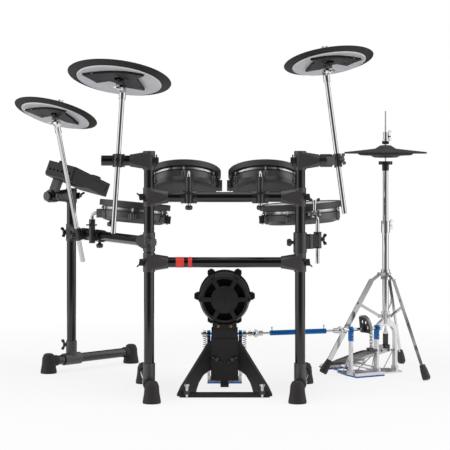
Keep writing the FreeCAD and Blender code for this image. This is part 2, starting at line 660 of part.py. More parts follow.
def snare():
    """The snare on its stem, with the clamp on the right post and its bolts."""
    tilt = math.radians(SNARE_TILT)
    place = frame(SNARE, V(-math.sin(tilt), 0, math.cos(tilt)), RIGHT)
    eye, foot = SNARE_EYE, SNARE_FOOT
    shell = pad_shell(SNARE_R, place, 8, 180)
    for side in (-1, 1):
        cheek = block(side * 14 - 4, side * 14 + 4, -12, 56, -14, 14)
        cheek.translate(eye)
        shell = hung(shell, cheek, place, SNARE_R - 19, 80)
    save("snare_shell", [shell.cut(rod(eye - RIGHT * 30, eye + RIGHT * 30, SNARE_EYE_R + RUN_FIT))])
    save("snare_head", [pad_head(SNARE_R, place)])
    screw = eye + UP * SNARE_SCREW
    stem = fused(bent_rod(foot, at_z(foot, SNARE_BEND_Z), eye, SNARE_ROD_R, 16),
                 rod(eye - RIGHT * 9.5, eye + RIGHT * 9.5, 13),
                 rod(eye - RIGHT * 24, eye + RIGHT * 24, SNARE_EYE_R),
                 rod(eye, screw, 6), wing_bolt(screw, UP, RIGHT, 2))
    post = at_z(RIGHT_POST, SNARE_CLAMP_Z)
    reach = V(foot.x - POST_X, foot.y, 0)
    along = unit(reach)
    ring = rod(post - UP * 37, post + UP * 37, TUBE_R + 6)
    beam = placed(Part.makeBox(44, 24, reach.Length, V(-22, -12, 0)), frame(post, along, UP))
    knuckle = rod(post + along * 70 - UP * 27, post + along * 70 + UP * 27, 20)
    low, high = at_z(foot, SNARE_CLAMP_Z - 30), at_z(foot, SNARE_CLAMP_Z + 32)
    body = fused(ring, beam, knuckle, rod(low, high, ROD_R + 6))
    body = body.cut(rod(post - UP * 40, post + UP * 40, TUBE_R + TUBE_FIT))
    body = body.cut(rod(low - UP * 38, high + UP * 20, SNARE_ROD_R + TUBE_FIT))
    seats = [(post - RIGHT * (TUBE_R + 6), LEFT),
             (at_z(foot, SNARE_CLAMP_Z + 4) + RIGHT * (ROD_R + 6), RIGHT)]
    return [stem], [drilled(body, seats)], [knob(*seats[0], 4), wing_bolt(*seats[1], UP, 4)]


def module():
    """The sound module, its panel, controls and bracket."""
    turn = FreeCAD.Rotation(UP, MODULE_YAW).multiply(FreeCAD.Rotation(V(0, 1, 0), MODULE_PITCH))
    turn = turn.multiply(FreeCAD.Rotation(V(1, 0, 0), MODULE_ROLL))
    place = FreeCAD.Placement(MODULE_CENTRE, turn)
    half_l, half_w, half_h = MODULE_L / 2, MODULE_W / 2, MODULE_H / 2
    body = block(-half_l, half_l, -half_w, half_w, -half_h, half_h)
    upright = [edge for edge in body.Edges if abs(edge.tangentAt(edge.FirstParameter).z) > 0.9]
    body = body.makeFillet(9, upright)
    body = body.cut(block(5 - half_l, half_l - 5, 5 - half_w, half_w - 5, half_h - PANEL_THICK, half_h + 1))
    body = body.cut(block(3 - half_l, half_l - 3, 3 - half_w, half_w - 3, 3 - half_h,
                          half_h - PANEL_THICK - 3))
    body = body.cut(block(-110, 110, -half_w - 1, 2 - half_w, -12, 14))
    for index in range(6):
        body = body.cut(Part.makeCylinder(3.3, 9, V(-half_l - 1, -50 + 20 * index, -4), RIGHT))
    controls = {"volume_knob": (-95.0, 38.0, 9.0), "data_dial": (88.0, -20.0, 21.0),
                "start_button": (40.0, -45.0, 7.0), "stop_button": (62.0, -45.0, 7.0)}
    floor = half_h - PANEL_THICK
    panel = block(5.2 - half_l, half_l - 5.2, 5.2 - half_w, half_w - 5.2, floor, half_h)
    for x, y, radius in controls.values():
        stem = 4.0 if radius > 8 else radius
        panel = panel.cut(Part.makeCylinder(stem + SOFT_FIT, 20, V(x, y, floor - 10)))
        body = body.cut(Part.makeCylinder(stem + SOFT_FIT, 12, V(x, y, floor - 11)))
    panel = panel.cut(block(-60, 20, 10, 50, half_h - 1.2, half_h + 1))
    save("module_body", [placed(body, place)])
    save("module_panel", [placed(panel, place)])
    for name, (x, y, radius) in controls.items():
        if radius > 8:
            shape = fused(turned([(0, half_h + 0.6), (radius, half_h + 0.6), (radius - 1.5, half_h + 13),
                                  (0, half_h + 13)]),
                          Part.makeCylinder(4.0, 12, V(0, 0, half_h - 10)))
            shape = shape.cut(block(-1, 1, radius - 3, radius + 1, half_h + 9, half_h + 14))
        else:
            shape = Part.makeCylinder(radius, 8, V(0, 0, half_h - 5))
        shape.translate(V(x, y, 0))
        save(name, [placed(shape, place)])
    ring_at = at_z(WING_POST, MODULE_ARM_Z) + MODULE_ARM_DIR * MODULE_RING
    ring = rod(ring_at - MODULE_ARM_DIR * 17, ring_at + MODULE_ARM_DIR * 17, TUBE_R + 7)
    spot = place.inverse().multVec(ring_at)
    shoe = block(spot.x - 45, spot.x + 60, 15 - half_w, half_w - 8, -half_h - 6, -half_h)
    neck_line = [(spot.x - 13, spot.y - 17), (spot.x + 13, spot.y - 17), (spot.x + 13, spot.y + 17),
                 (spot.x - 13, spot.y + 17)]
    neck = plate(neck_line, -spot.z - half_h - 2)
    neck.translate(V(0, 0, spot.z))
    bracket = fused(placed(fused(shoe, neck), place), ring)
    bracket = bracket.cut(rod(ring_at - MODULE_ARM_DIR * 60, ring_at + MODULE_ARM_DIR * 40, TUBE_R + RUN_FIT))
    knob_dir = unit(UP.cross(MODULE_ARM_DIR))
    bolt = knob(ring_at + knob_dir * (TUBE_R + 7), knob_dir, 4)
    bracket = bracket.cut(rod(ring_at, ring_at + knob_dir * 40, BOLT_R + BOLT_FIT))
    save("module_bracket", [bracket, bolt])


def kick():
    """The kick tower, its drum and head."""
    axis = frame(V(0, 0, KICK_Z), V(0, 1, 0), RIGHT)
    front, back = KICK_FRONT_Y, KICK_HEAD_Y
    inside = KICK_FACE_R - 9
    wall = turned([(KICK_FACE_R, front + 6), (KICK_R, front + 40), (KICK_R, back), (KICK_R - 4, back),
                   (KICK_R - 4, front + 40), (KICK_FACE_R - 5, front + 8), (inside, front + 6),
                   (inside, front), (KICK_FACE_R, front)])
    disc = turned([(0, front - 2), (KICK_DISC_R, front), (KICK_DISC_R, front + 8), (0, front + 8)])
    back_wall = turned([(0, front + 30), (KICK_R - 2, front + 30), (KICK_R - 2, front + 34), (0, front + 34)])
    hoop = turned([(KICK_R - 1, back - 20), (KICK_R + 5, back - 20), (KICK_R + 5, back + 2),
                   (KICK_R - 1, back + 2)])
    pieces = [wall, back_wall, disc, Part.makeCylinder(20, 30, V(0, 0, front + 4)), hoop]
    ear = [(KICK_R - 3, -16), (KICK_R + 13, -14), (KICK_R + 22, -8), (KICK_R + 22, 8), (KICK_R + 13, 14),
           (KICK_R - 3, 16)]
    for index in range(6):
        spoke = block(KICK_DISC_R - 4, KICK_FACE_R + 1, -8, 8, front - 1.5, front + 6)
        lug = plate(ear, 34)
        lug.translate(V(0, 0, back - 38))
        screw = Part.makeCylinder(4, 50, V(KICK_R + 13, 0, back - 44))
        arms = [spoke, lug, screw]
        if index not in (1, 2):
            arms.append(block(KICK_FACE_R - 2, KICK_R + 3, -8, 8, front + 3, back - 18))
        for shape in arms:
            shape.rotate(V(), UP, index * 60)
        pieces += arms
    save("kick_shell", [placed(fused(*pieces), axis)])
    edge = KICK_R - 4 - TUBE_FIT
    head = turned([(0, back - 3), (edge, back - 3), (edge, back), (0, back + 1)])
    ledge = turned([(KICK_R - 12, back - 9), (edge, back - 9), (edge, back - 3), (KICK_R - 12, back - 3)])
    save("kick_head", [placed(fused(head, ledge), axis)])

    deep = COLUMN_Y + COLUMN_DEPTH
    column = fused(block(-COLUMN_HALF, COLUMN_HALF, COLUMN_Y, deep, COLUMN_FOOT, STEP_Z),
                   block(2 - COLUMN_HALF, COLUMN_HALF - 2, COLUMN_Y + 5, deep, STEP_Z - 1, SHOULDER_Z),
                   block(6 - COLUMN_HALF, COLUMN_HALF - 6, COLUMN_Y + 9, deep, SHOULDER_Z - 1, KICK_Z - 60))
    column = column.cut(block(COLUMN_WALL - COLUMN_HALF, COLUMN_HALF - COLUMN_WALL, COLUMN_Y + COLUMN_WALL, deep + 1,
                              0, STEP_Z - 6))
    column = column.cut(placed(Part.makeCylinder(KICK_R, 300, V()), axis))
    taper = turned([(0, 0), (KICK_FACE_R - 1, 0), (KICK_FACE_R, front + 6), (KICK_R, front + 40), (KICK_R, 400),
                    (0, 400)])
    column = column.cut(placed(taper, axis))
    screws = []
    for side in (-1, 1):
        spot = V(side * 24, COLUMN_Y + 9, SHOULDER_Z + 11)
        screw = rod(spot - V(0, 3, 0), spot + V(0, 3, 0), 5)
        screws.append(screw.cut(rod(spot - V(0, 4, 0), spot - V(0, 1, 0), 2)))
    bridge = block(-COLUMN_HALF, COLUMN_HALF, deep - 10, deep, COLUMN_FOOT, COLUMN_FOOT + 24)
    web = block(-TONGUE_HALF, TONGUE_HALF, deep - 10, deep, 0, COLUMN_FOOT + 4)
    tongue = block(-TONGUE_HALF, TONGUE_HALF, deep - 10, TONGUE_END, 0, 8)
    bar = block(-166, 166, -37, 5, 0, 14)
    pieces = [column, *screws, bridge, web, tongue, bar]
    for side in (-1, 1):
        root = V(side * COLUMN_HALF, COLUMN_Y + 8, 0)
        run = V(side * FIN_TIP.x, FIN_TIP.y, 0) - root
        span = run.Length
        outline = [(-6, FIN_TOP), (14, FIN_TOP - 6), (span - 20, 34), (span, 8), (span, 0), (span * 0.5, 0),
                   (span * 0.46, 18), (span * 0.40, 38), (span * 0.27, 62), (span * 0.12, 74), (-6, 78)]
        fin = plate(outline, FIN_THICK)
        fin.translate(V(0, 0, -FIN_THICK / 2))
        pieces.append(placed(fin, frame(root, run.cross(UP), run)))
    save("kick_tower", [fused(*pieces)])
    bolts = []
    for side in (-1, 1):
        spike = turned([(0, 0), (3, 4), (5, 10), (5, 44), (9, 44), (9, 52), (0, 52)])
        spike.translate(V(side * SPIKE_X, -50, 0))
        bolts.append(fused(spike, block(side * SPIKE_X - 10, side * SPIKE_X + 10, -58, -20, 14, 26)))
        bolt_seat = V(side * 29, COLUMN_Y - 0.2, COLUMN_BOLT_Z)
        bolts.append(wing_bolt(bolt_seat, V(0, -1, 0), V(side, 0, 0.6), 0.1))
    return bolts


def coil_spring(x, y, low, high):
    """An extension spring standing on end: one tube on quarter-turn arcs."""
    end = SPRING_WIRE + SOFT_FIT
    length = high - low - 2 * end

    def on_coil(turn):
        return heading(360.0 * turn) * SPRING_R + V(x, y, low + end + length * turn / SPRING_TURNS)

    quarters = [Part.Arc(on_coil(index / 4), on_coil((index + 0.5) / 4), on_coil((index + 1) / 4)).toShape()
                for index in range(4 * SPRING_TURNS)]
    slope = V(0, 2 * math.pi * SPRING_R, length / SPRING_TURNS)
    section = Part.Wire(Part.Circle(on_coil(0), slope, SPRING_WIRE).toShape())
    marks = [on_coil(index / 12) for index in range(12 * SPRING_TURNS + 1)]
    least = min((marks[first] - marks[second]).Length for first in range(len(marks))
                for second in range(first + 7, min(first + 19, len(marks))))
    print("spring: least gap to itself %.2f mm" % (least - 2 * SPRING_WIRE))
    return Part.Wire(quarters).makePipeShell([section], True, False)


def chain(x, y, low, high):
    """A roller chain standing on end: alternate inner and outer side plates on shared pins."""
    count = 6
    pitch = (high - low - 5) / count
    pieces = []
    for index in range(count + 1):
        pin = V(x, y, low + 2.5 + pitch * index)
        pieces.append(rod(pin - RIGHT * CHAIN_HALF, pin + RIGHT * CHAIN_HALF, 1.5))
        if index < count:
            spread = CHAIN_HALF - (2.6 if index % 2 else 1.3)
            for side in (-1, 1):
                middle = x + side * spread
                side_plate = block(middle - 0.7, middle + 0.7, y - 2.6, y + 2.6, pin.z - 2.4, pin.z + pitch + 2.4)
                pieces.append(side_plate)
            pieces.append(rod(pin - RIGHT * 3.2, pin + RIGHT * 3.2, 2.3))
    return fused(*pieces)


def axle_yoke(joint, axle_dir, prong):
    """The open half of a universal joint: two prongs round the ball, on the axle's side."""
    shell = Part.makeSphere(BALL_R + 5).cut(Part.makeSphere(BALL_R + SOFT_FIT))
    keep = block(-BALL_R - 6, BALL_R + 6, -5, 5, -BALL_R - 6, 3.0)
    hub = Part.makeCylinder(AXLE_R + 5, 14, V(0, 0, -BALL_R - 16))
    return placed(fused(shell.common(keep), hub), frame(joint, axle_dir, prong))


def shaft_yoke(joint, shaft_dir, prong):
    """The closed half of a universal joint: prongs carrying the ball, on the shaft's side."""
    shell = Part.makeSphere(BALL_R + 5).cut(Part.makeSphere(BALL_R - 1))
    keep = block(-BALL_R - 6, BALL_R + 6, -5, 5, -3.0, BALL_R + 6)
    hub = Part.makeCylinder(SHAFT_R, 16, V(0, 0, BALL_R + 3))
    return placed(fused(shell.common(keep), Part.makeSphere(BALL_R), hub), frame(joint, shaft_dir, prong))


def pedal_frame(half, front, nose):
    """Base, posts, heel plate and rods of one pedal, in the pedal's own axes."""
    base = plate([(-half, front), (half, front), (half, 30), (nose, 118), (-nose, 118), (-half, 30)], 6)
    pieces = [base, block(-40, 40, HEEL_Y - 8, HEEL_Y + 72, 0, 6),
              block(-36, 36, HEEL_Y + 18, HEEL_Y + 68, 0, 14)]
    for side in (-1, 1):
        pieces.append(block(side * PEDAL_HALF - 5, side * PEDAL_HALF + 5, -9, 9, 5, AXLE_Z - 45))
        pieces.append(block(side * PEDAL_HALF - 5, side * PEDAL_HALF + 5, -22, 22, 5, 26))
        pieces.append(block(side * 52 - 3, side * 52 + 3, HEEL_Y - 8, HEEL_Y + 8, 5, HEEL_Z + 8))
        pieces.append(block(side * 46 - 9, side * 46 + 9, HEEL_Y - 8, HEEL_Y + 8, 0, 6))
        pieces.append(rod(V(side * 26, 112, 3.2), V(side * 26, HEEL_Y + 4, 3.2), 3))
        pieces.append(rod(V(side * PEDAL_HALF, 6, 92), V(side * 34, 104, 4), 2))
    pin = BOLT_R + 1
    solid = fused(*pieces)
    return solid.cut(rod(V(-60, HEEL_Y, HEEL_Z), V(60, HEEL_Y, HEEL_Z), pin + RUN_FIT))


def pedal_caps():
    """Bearing blocks on the posts that carry the axle, in the pedal's own axes."""
    caps = []
    for side in (-1, 1):
        inner, outer = side * PEDAL_HALF - 6.5, side * PEDAL_HALF + 6.5
        cap_block = fused(block(inner, outer, -10, 10, AXLE_Z - 45, AXLE_Z),
                          rod(V(inner, 0, AXLE_Z), V(outer, 0, AXLE_Z), 13))
        for drop in (20, 34):
            screw = V(side * PEDAL_HALF, -9, AXLE_Z - drop)
            cap_block = fused(cap_block, rod(screw, screw - V(0, 2.5, 0), 3))
        caps.append(cap_block.cut(rod(V(-80, 0, AXLE_Z), V(80, 0, AXLE_Z), AXLE_R + RUN_FIT)))
    return caps


def footboard(half, toe_y, toe_z, chain_lug):
    """A ridged board on its heel pin, in the pedal's own axes."""
    run = V(0, toe_y - HEEL_Y, toe_z - HEEL_Z)
    long = run.Length
    place = frame(V(0, HEEL_Y, HEEL_Z), run.cross(RIGHT), run)
    board = plate([(0, -half + 6), (long * 0.45, -half), (long - 14, -half), (long, -half + 10), (long, half - 10),
                   (long - 14, half), (long * 0.45, half), (0, half - 6)], BOARD_THICK)
    first = long * 0.2
    ridges = [block(first + 22 * index, first + 22 * index + 9, -half + 8, half - 8, -2.5, 0.5) for index in range(8)]
    board.translate(V(0, 0, -BOARD_THICK / 2))
    for ridge in ridges:
        ridge.translate(V(0, 0, -BOARD_THICK / 2))
    if place.multVec(V(0, 0, -1)).z < place.multVec(V(0, 0, 1)).z:
        flip = FreeCAD.Placement(V(), FreeCAD.Rotation(V(1, 0, 0), 180))
        board = placed(board, flip)
        ridges = [placed(ridge, flip) for ridge in ridges]
    shape = placed(fused(board, *ridges), place)
    barrel = rod(V(-half + 2, HEEL_Y, HEEL_Z), V(half - 2, HEEL_Y, HEEL_Z), 8)
    pin = rod(V(-56, HEEL_Y, HEEL_Z), V(56, HEEL_Y, HEEL_Z), BOLT_R + 1)
    shape = fused(shape, barrel, pin)
    if chain_lug:
        room = CHAIN_HALF + 0.8
        lug = block(-room - 4, room + 4, toe_y - 5, toe_y + 14, toe_z - 4, toe_z + 10)
        slot = block(-room, room, toe_y - 6, toe_y + 4.5, toe_z + 2, toe_z + 12)
        shape = fused(shape, lug).cut(slot)
    return shape


def beater(x):
    """Hub, rod and felt head of a beater, leaning back from the axle."""
    foot = V(x, 0, AXLE_Z)
    lean = math.radians(BEATER_LEAN)
    along = V(0, math.sin(lean), math.cos(lean))
    tip = foot + along * BEATER_LEN
    hub = fused(rod(foot - RIGHT * 9, foot + RIGHT * 9, 12), rod(foot, tip - along * 10, 4))
    felt = rod(tip - RIGHT * 17, tip + RIGHT * 17, BEATER_R)
    felt = felt.cut(rod(foot, tip - along * 10, 4))
    return hub, felt


def rocker(x):
    """The short arm that pulls a pedal spring."""
    centre = V(x, 0, AXLE_Z)
    arm = math.radians(-30)
    end = centre + V(0, math.cos(arm), math.sin(arm)) * 22
    disc = rod(centre - RIGHT * 6, centre + RIGHT * 6, 13)
    link = fused(disc, rod(end - RIGHT * 9, end + RIGHT * 9, ROCKER_PIN_R), rod(centre, end, 5))
    return link, end


def pedals():
    """The double pedal: frames, boards, axles, springs, chains and the drive shaft."""
    main = FreeCAD.Placement(MAIN_PEDAL, FreeCAD.Rotation())
    slave = FreeCAD.Placement(SLAVE_PEDAL, FreeCAD.Rotation(UP, SLAVE_YAW))
    main_frame = pedal_frame(67, -58, 52)
    clamp = fused(block(-18, 18, -72, -50, 8.2, 22), block(-18, 18, -62, -50, 0, 22))
    anchors = []
    for side in (-1, 1):
        inner, outer = sorted((side * 63, side * 87))
        root = block(side * PEDAL_HALF - 5, side * PEDAL_HALF + 5, 0, 28, ANCHOR_Z - 16, ANCHOR_Z)
        anchors.append(fused(block(inner, outer, 8, 28, ANCHOR_Z - 10, ANCHOR_Z), root))
    main_frame = fused(main_frame, clamp, *anchors)
    slave_frame = fused(pedal_frame(67, -42, 52), block(-67, 67, -50, -36, 0, 18))
    save("pedal_frames", [placed(main_frame, main), placed(slave_frame, slave)])
    save("bearing_caps", [placed(cap_block, main) for cap_block in pedal_caps()]
         + [placed(cap_block, slave) for cap_block in pedal_caps()])
    board = footboard(BOARD_HALF, -CAM_R, TOE_Z, True)
    save("main_footboard", [placed(board, main)])
    save("slave_footboard", [placed(board, slave)])

    cam = fused(rod(V(-3, 0, AXLE_Z), V(3, 0, AXLE_Z), CAM_R - 3), rod(V(-8, 0, AXLE_Z), V(8, 0, AXLE_Z), 15))
    teeth = [rod(V(-2, 0, AXLE_Z) + V(0, math.cos(a), math.sin(a)) * (CAM_R - 3),
                 V(2, 0, AXLE_Z) + V(0, math.cos(a), math.sin(a)) * (CAM_R - 3), 3)
             for a in [math.radians(15 * index) for index in range(24)]]
    sector = plate([(-62, -14), (-62, 62), (36, 62), (22, -14)], 20,
                   frame(V(-10, 0, AXLE_Z), RIGHT, V(0, 1, 0)))
    cam = fused(cam, *teeth).common(sector)
    for turn in (70, 118, 166):
        spot = heading(turn) * 30
        cam = cam.cut(rod(V(-4, spot.x, AXLE_Z + spot.y), V(4, spot.x, AXLE_Z + spot.y), 8))
    wrap = pipe(V(1 - CHAIN_HALF, 0, AXLE_Z), V(CHAIN_HALF - 1, 0, AXLE_Z), CAM_R + 5, CAM_R - 2)
    reach = fused(block(-9, 9, -60, 0, AXLE_Z + 1, AXLE_Z + 60),
                  block(-9, 9, -1, 30, AXLE_Z + 20, AXLE_Z + 60))
    cam = fused(cam, wrap.common(reach), rod(V(-8, 0, AXLE_Z), V(8, 0, AXLE_Z), 15))
    left_rocker, left_end = rocker(-78)
    right_rocker, right_end = rocker(78)
    main_hub, main_felt = beater(-32)
    spigot = rod(V(8, 0, AXLE_Z), V(22, 0, AXLE_Z), AXLE_R - 2.5)
    main_axle = fused(rod(V(-92, 0, AXLE_Z), V(11, 0, AXLE_Z), AXLE_R), cam, left_rocker, main_hub, spigot)
    save("main_axle", [placed(main_axle, main), placed(main_felt, main)])
    second_hub, second_felt = beater(32)
    joint = V(JOINT_X, 0, AXLE_Z)
    second = fused(rod(V(11.5, 0, AXLE_Z), V(JOINT_X - BALL_R - 4, 0, AXLE_Z), AXLE_R), right_rocker, second_hub,
                   axle_yoke(joint, RIGHT, V(0, 1, 0)))
    second = second.cut(rod(V(0, 0, AXLE_Z), V(23, 0, AXLE_Z), AXLE_R - 2.5 + RUN_FIT))
    save("second_beater", [placed(second, main), placed(second_felt, main)])
    slave_joint = V(-SLAVE_JOINT_X, 0, AXLE_Z)
    slave_axle = fused(rod(V(BALL_R + 4 - SLAVE_JOINT_X, 0, AXLE_Z), V(82, 0, AXLE_Z), AXLE_R), cam,
                       rod(V(72, 0, AXLE_Z), V(82, 0, AXLE_Z), 10), axle_yoke(slave_joint, LEFT, V(0, 1, 0)))
    save("slave_axle", [placed(slave_axle, slave)])
    start = main.multVec(joint)
    end = slave.multVec(slave_joint)
    along = unit(end - start)
    near, far = start + along * SLEEVE_START, end - along * SLEEVE_START
    shaft = fused(shaft_yoke(start, along, UP), rod(start + along * 18, end - along * 18, SHAFT_ROD_R),
                  rod(near, far, SHAFT_R), shaft_yoke(end, along * -1, UP))
    for spot in (near + along * 8, far - along * 8):
        shaft = fused(shaft, rod(spot, spot + UP * 22, 2.5), rod(spot + UP * 18, spot + UP * 24, 4))
    save("drive_shaft", [shaft])
    for name, end_point in (("main_spring", left_end), ("second_spring", right_end)):
        spring = coil_spring(end_point.x, end_point.y, ANCHOR_Z, end_point.z - ROCKER_PIN_R)
        save(name, [placed(spring, main)])
    drop = chain(0, -CAM_R - 2.7, TOE_Z + 2.3, AXLE_Z + 0.5)
    save("main_chain", [placed(drop, main)])
    save("slave_chain", [placed(drop, slave)])


def leg_bar(start, end, half):
    """A flat bar of a tripod leg between two points of its upright plane."""
    long = (end - start).Length
    return placed(Part.makeBox(long, 2 * half, 6, V(0, -half, -3)), frame(start, V(0, 1, 0), end - start))


def hihat():
    """The hi-hat stand, its pad and pedal."""
    place = FreeCAD.Placement(HAT, FreeCAD.Rotation(UP, HAT_YAW))
    hinge_y, hinge_z = 240.0, 20.0
    arch = [(-52, 5), (-52, 160), (-48, 184), (-36, 202), (-18, 216), (18, 216), (36, 202), (48, 184), (52, 160),
            (52, 5), (40, 5), (40, 156), (36, 172), (27, 184), (14, 190), (-14, 190), (-27, 184), (-36, 172),
            (-40, 156), (-40, 5)]
    yoke = plate(arch, 20, frame(V(0, 10, 0), V(0, -1, 0), RIGHT))
    hub = rod(V(0, 0, 200), V(0, 0, 248), LOWER_R + 5)
    pieces = [yoke, hub, block(-56, 56, -40, 64, 0, 6), block(-40, 40, hinge_y - 14, hinge_y + 62, 0, 6)]
    for side in (-1, 1):
        pieces.append(block(side * 46 - 6, side * 46 + 6, -18, 18, 5, 24))
        pieces.append(rod(V(side * 46, 6, 96), V(side * 30, 60, 4), 2))
        pieces.append(block(side * 52 - 3, side * 52 + 3, hinge_y - 9, hinge_y + 9, 5, hinge_z + 8))
        pieces.append(block(side * 46 - 9, side * 46 + 9, hinge_y - 9, hinge_y + 9, 0, 6))
        pieces.append(rod(V(side * 26, 60, 3.2), V(side * 26, hinge_y, 3.2), 3))
    solid = fused(*pieces)
    for angle in LEG_TURNS:
        lug = block(8, LEG_PIVOT + 7, -3, 3.4, HUB_Z - 7, HUB_Z + 7)
        pin = fused(rod(V(LEG_PIVOT, 0, HUB_Z), V(LEG_PIVOT, 9, HUB_Z), BOLT_R),
                    rod(V(LEG_PIVOT, 7.4, HUB_Z), V(LEG_PIVOT, 10, HUB_Z), 5.5))
        both = fused(lug, pin)
        both.rotate(V(), UP, angle)
        solid = fused(solid, both)
    solid = solid.cut(rod(V(0, 0, 222), V(0, 0, 260), LOWER_R + TUBE_FIT))
    solid = solid.cut(rod(V(0, 0, 150), V(0, 0, 230), 7))
    solid = solid.cut(rod(V(-60, hinge_y, hinge_z), V(60, hinge_y, hinge_z), BOLT_R + 1 + RUN_FIT))
    save("hihat_frame", [placed(solid, place)])
    lower = pipe(V(0, 0, 222), V(0, 0, LOWER_TOP), LOWER_R, LOWER_R - STAND_WALL)
    lock = pipe(V(0, 0, LOWER_TOP - 19), V(0, 0, LOWER_TOP + 30), LOWER_R + 5, UPPER_R + SOFT_FIT)
    lock = lock.cut(rod(V(0, 0, LOWER_TOP - 20), V(0, 0, LOWER_TOP), LOWER_R + TUBE_FIT))
    grip = wing_bolt(V(LOWER_R + 5, 0, LOWER_TOP + 14), RIGHT, UP, 3)
    lock = lock.cut(rod(V(0, 0, LOWER_TOP + 14), V(60, 0, LOWER_TOP + 14), BOLT_R + BOLT_FIT))
    save("hihat_lower_tube", [placed(shape, place) for shape in (lower, lock, grip)])
    upper = pipe(V(0, 0, 400), V(0, 0, CUP_Z + 2), UPPER_R, UPPER_R - STAND_WALL)
    cup = turned([(UPPER_R - STAND_WALL, CUP_Z - 24), (UPPER_R + 3, CUP_Z - 24), (UPPER_R + 3, CUP_Z), (28, CUP_Z),
                  (28.5, CUP_Z + 14), (25, CUP_Z + 14), (22, CUP_Z + 5), (UPPER_R - STAND_WALL, CUP_Z + 5)])
    save("hihat_upper_tube", [placed(fused(upper, cup), place)])

    collar = pipe(V(0, 0, COLLAR_Z - 20), V(0, 0, COLLAR_Z + 20), LOWER_R + 6, LOWER_R + RUN_FIT)
    for index, angle in enumerate(LEG_TURNS):
        ears = fused(block(LOWER_R + 3, LEG_PIVOT + 7, 3.4, 7, COLLAR_Z - 8, COLLAR_Z + 8),
                     block(LOWER_R + 3, LEG_PIVOT + 7, -7, -3.4, COLLAR_Z - 8, COLLAR_Z + 8),
                     rod(V(LEG_PIVOT, -8, COLLAR_Z), V(LEG_PIVOT, 8, COLLAR_Z), BOLT_R))
        ears.rotate(V(), UP, angle)
        collar = fused(collar, ears)
        pivot = V(LEG_PIVOT, 0, COLLAR_Z)
        bend = V(LEG_BEND_R, 0, LEG_BEND_Z)
        foot = V(LEG_FOOT, 0, LEG_FOOT_Z)
        along = unit(foot - bend)
        leg = fused(leg_bar(pivot, bend, 6), rod(bend - V(0, 3, 0), bend + V(0, 3, 0), LEG_HALF),
                    leg_bar(bend, foot, LEG_HALF), rod(pivot - V(0, 3, 0), pivot + V(0, 3, 0), 6))
        leg = leg.cut(rod(pivot - V(0, 10, 0), pivot + V(0, 10, 0), BOLT_R + RUN_FIT))
        leg = leg.cut(rod(V(0, 0, COLLAR_Z - 60), V(0, 0, COLLAR_Z + 40), LOWER_R + 6.6))
        elbow = V(BRACE_R, 0, BRACE_Z)
        pin = fused(rod(elbow, elbow + V(0, 9, 0), BOLT_R),
                    rod(elbow + V(0, 7.4, 0), elbow + V(0, 10, 0), 6.5))
        tip = turned([(0, 0), (14, 0), (17, 8), (15, 36), (11.5, 60), (0, 60)],
                     frame(foot + along * 8, along * -1, V(0, 1, 0)))
        tip = tip.common(block(0, 400, -60, 60, 0, 120))
        leg = fused(leg, pin)
        leg = leg.cut(tip)
        for shape in (leg, tip):
            shape.rotate(V(), UP, angle)
        save("hihat_leg_%d" % (index + 1), [placed(leg, place), placed(tip, place)])
        root = V(LEG_PIVOT, 3.8, HUB_Z)
        reach = V(BRACE_R, 3.8, BRACE_Z) - root
        far = reach.Length + 7
        strut = plate([(-5, -3), (-2, -6), (far, -6), (far, 6), (-2, 6), (-5, 3)], 3)
        strut = placed(strut, frame(root, V(0, 1, 0), reach))
        strut = strut.cut(rod(V(LEG_PIVOT, 0, HUB_Z), V(LEG_PIVOT, 12, HUB_Z), BOLT_R + RUN_FIT))
        strut = strut.cut(rod(elbow, elbow + V(0, 12, 0), BOLT_R + OPEN_FIT))
        strut.rotate(V(), UP, angle)
        save("hihat_brace_%d" % (index + 1), [placed(strut, place)])
    grip_dir = heading((LEG_TURNS[1] + LEG_TURNS[2]) / 2)
    grip = wing_bolt(V(0, 0, COLLAR_Z + 4) + grip_dir * (LOWER_R + 6), grip_dir, UP, 3)
    collar = collar.cut(rod(V(0, 0, COLLAR_Z + 4), V(0, 0, COLLAR_Z + 4) + grip_dir * 60, BOLT_R + BOLT_FIT))
    save("hihat_collar", [placed(collar, place), placed(grip, place)])

    run = V(0, -hinge_y + 2, 90 - hinge_z)
    long = run.Length
    board = plate([(0, -34), (long * 0.5, -38), (long - 8, -38), (long, -28), (long, 28), (long - 8, 38),
                   (long * 0.5, 38), (0, 34)], 7)
    board = placed(board, frame(V(0, hinge_y, hinge_z + 3.5), RIGHT.cross(run), run))
    board = fused(board, rod(V(-38, hinge_y, hinge_z), V(38, hinge_y, hinge_z), 8),
                  rod(V(-56, hinge_y, hinge_z), V(56, hinge_y, hinge_z), BOLT_R + 1))
    for side in (-1, 1):
        board = fused(board, block(side * 17 - 2, side * 17 + 2, -6, 20, 84, 112))
    board = fused(board, rod(V(-19, 0, 106), V(19, 0, 106), 3))
    save("hihat_footboard", [placed(board, place)])
    strap = block(-STRAP_HALF, STRAP_HALF, -12, 8, 97, 114)
    for shift in (0, -4.2):
        strap = strap.cut(rod(V(-20, shift, 106), V(20, shift, 106), 3.5))
    strap = strap.cut(block(-20, 20, -4.2, 0, 102.5, 109.5))
    strap = fused(strap, block(-STRAP_HALF, STRAP_HALF, -2, 2, 111, 158), block(-9, 9, -6, 6, 150, 166),
                  rod(V(0, 0, 156), V(0, 0, 178), 6))
    pull = fused(strap, rod(V(0, 0, 170), V(0, 0, HAT_TOP - 60), PULL_R),
                 rod(V(0, 0, HAT_TOP - 61), V(0, 0, HAT_TOP), PULL_R - 0.5))
    clutch = turned([(PULL_R, HAT_Z - 14), (11, HAT_Z - 14), (11, HAT_Z - 10), (5.5, HAT_Z - 10),
                     (5.5, HAT_Z + 52), (10, HAT_Z + 54), (10, HAT_Z + 84), (PULL_R, HAT_Z + 84)])
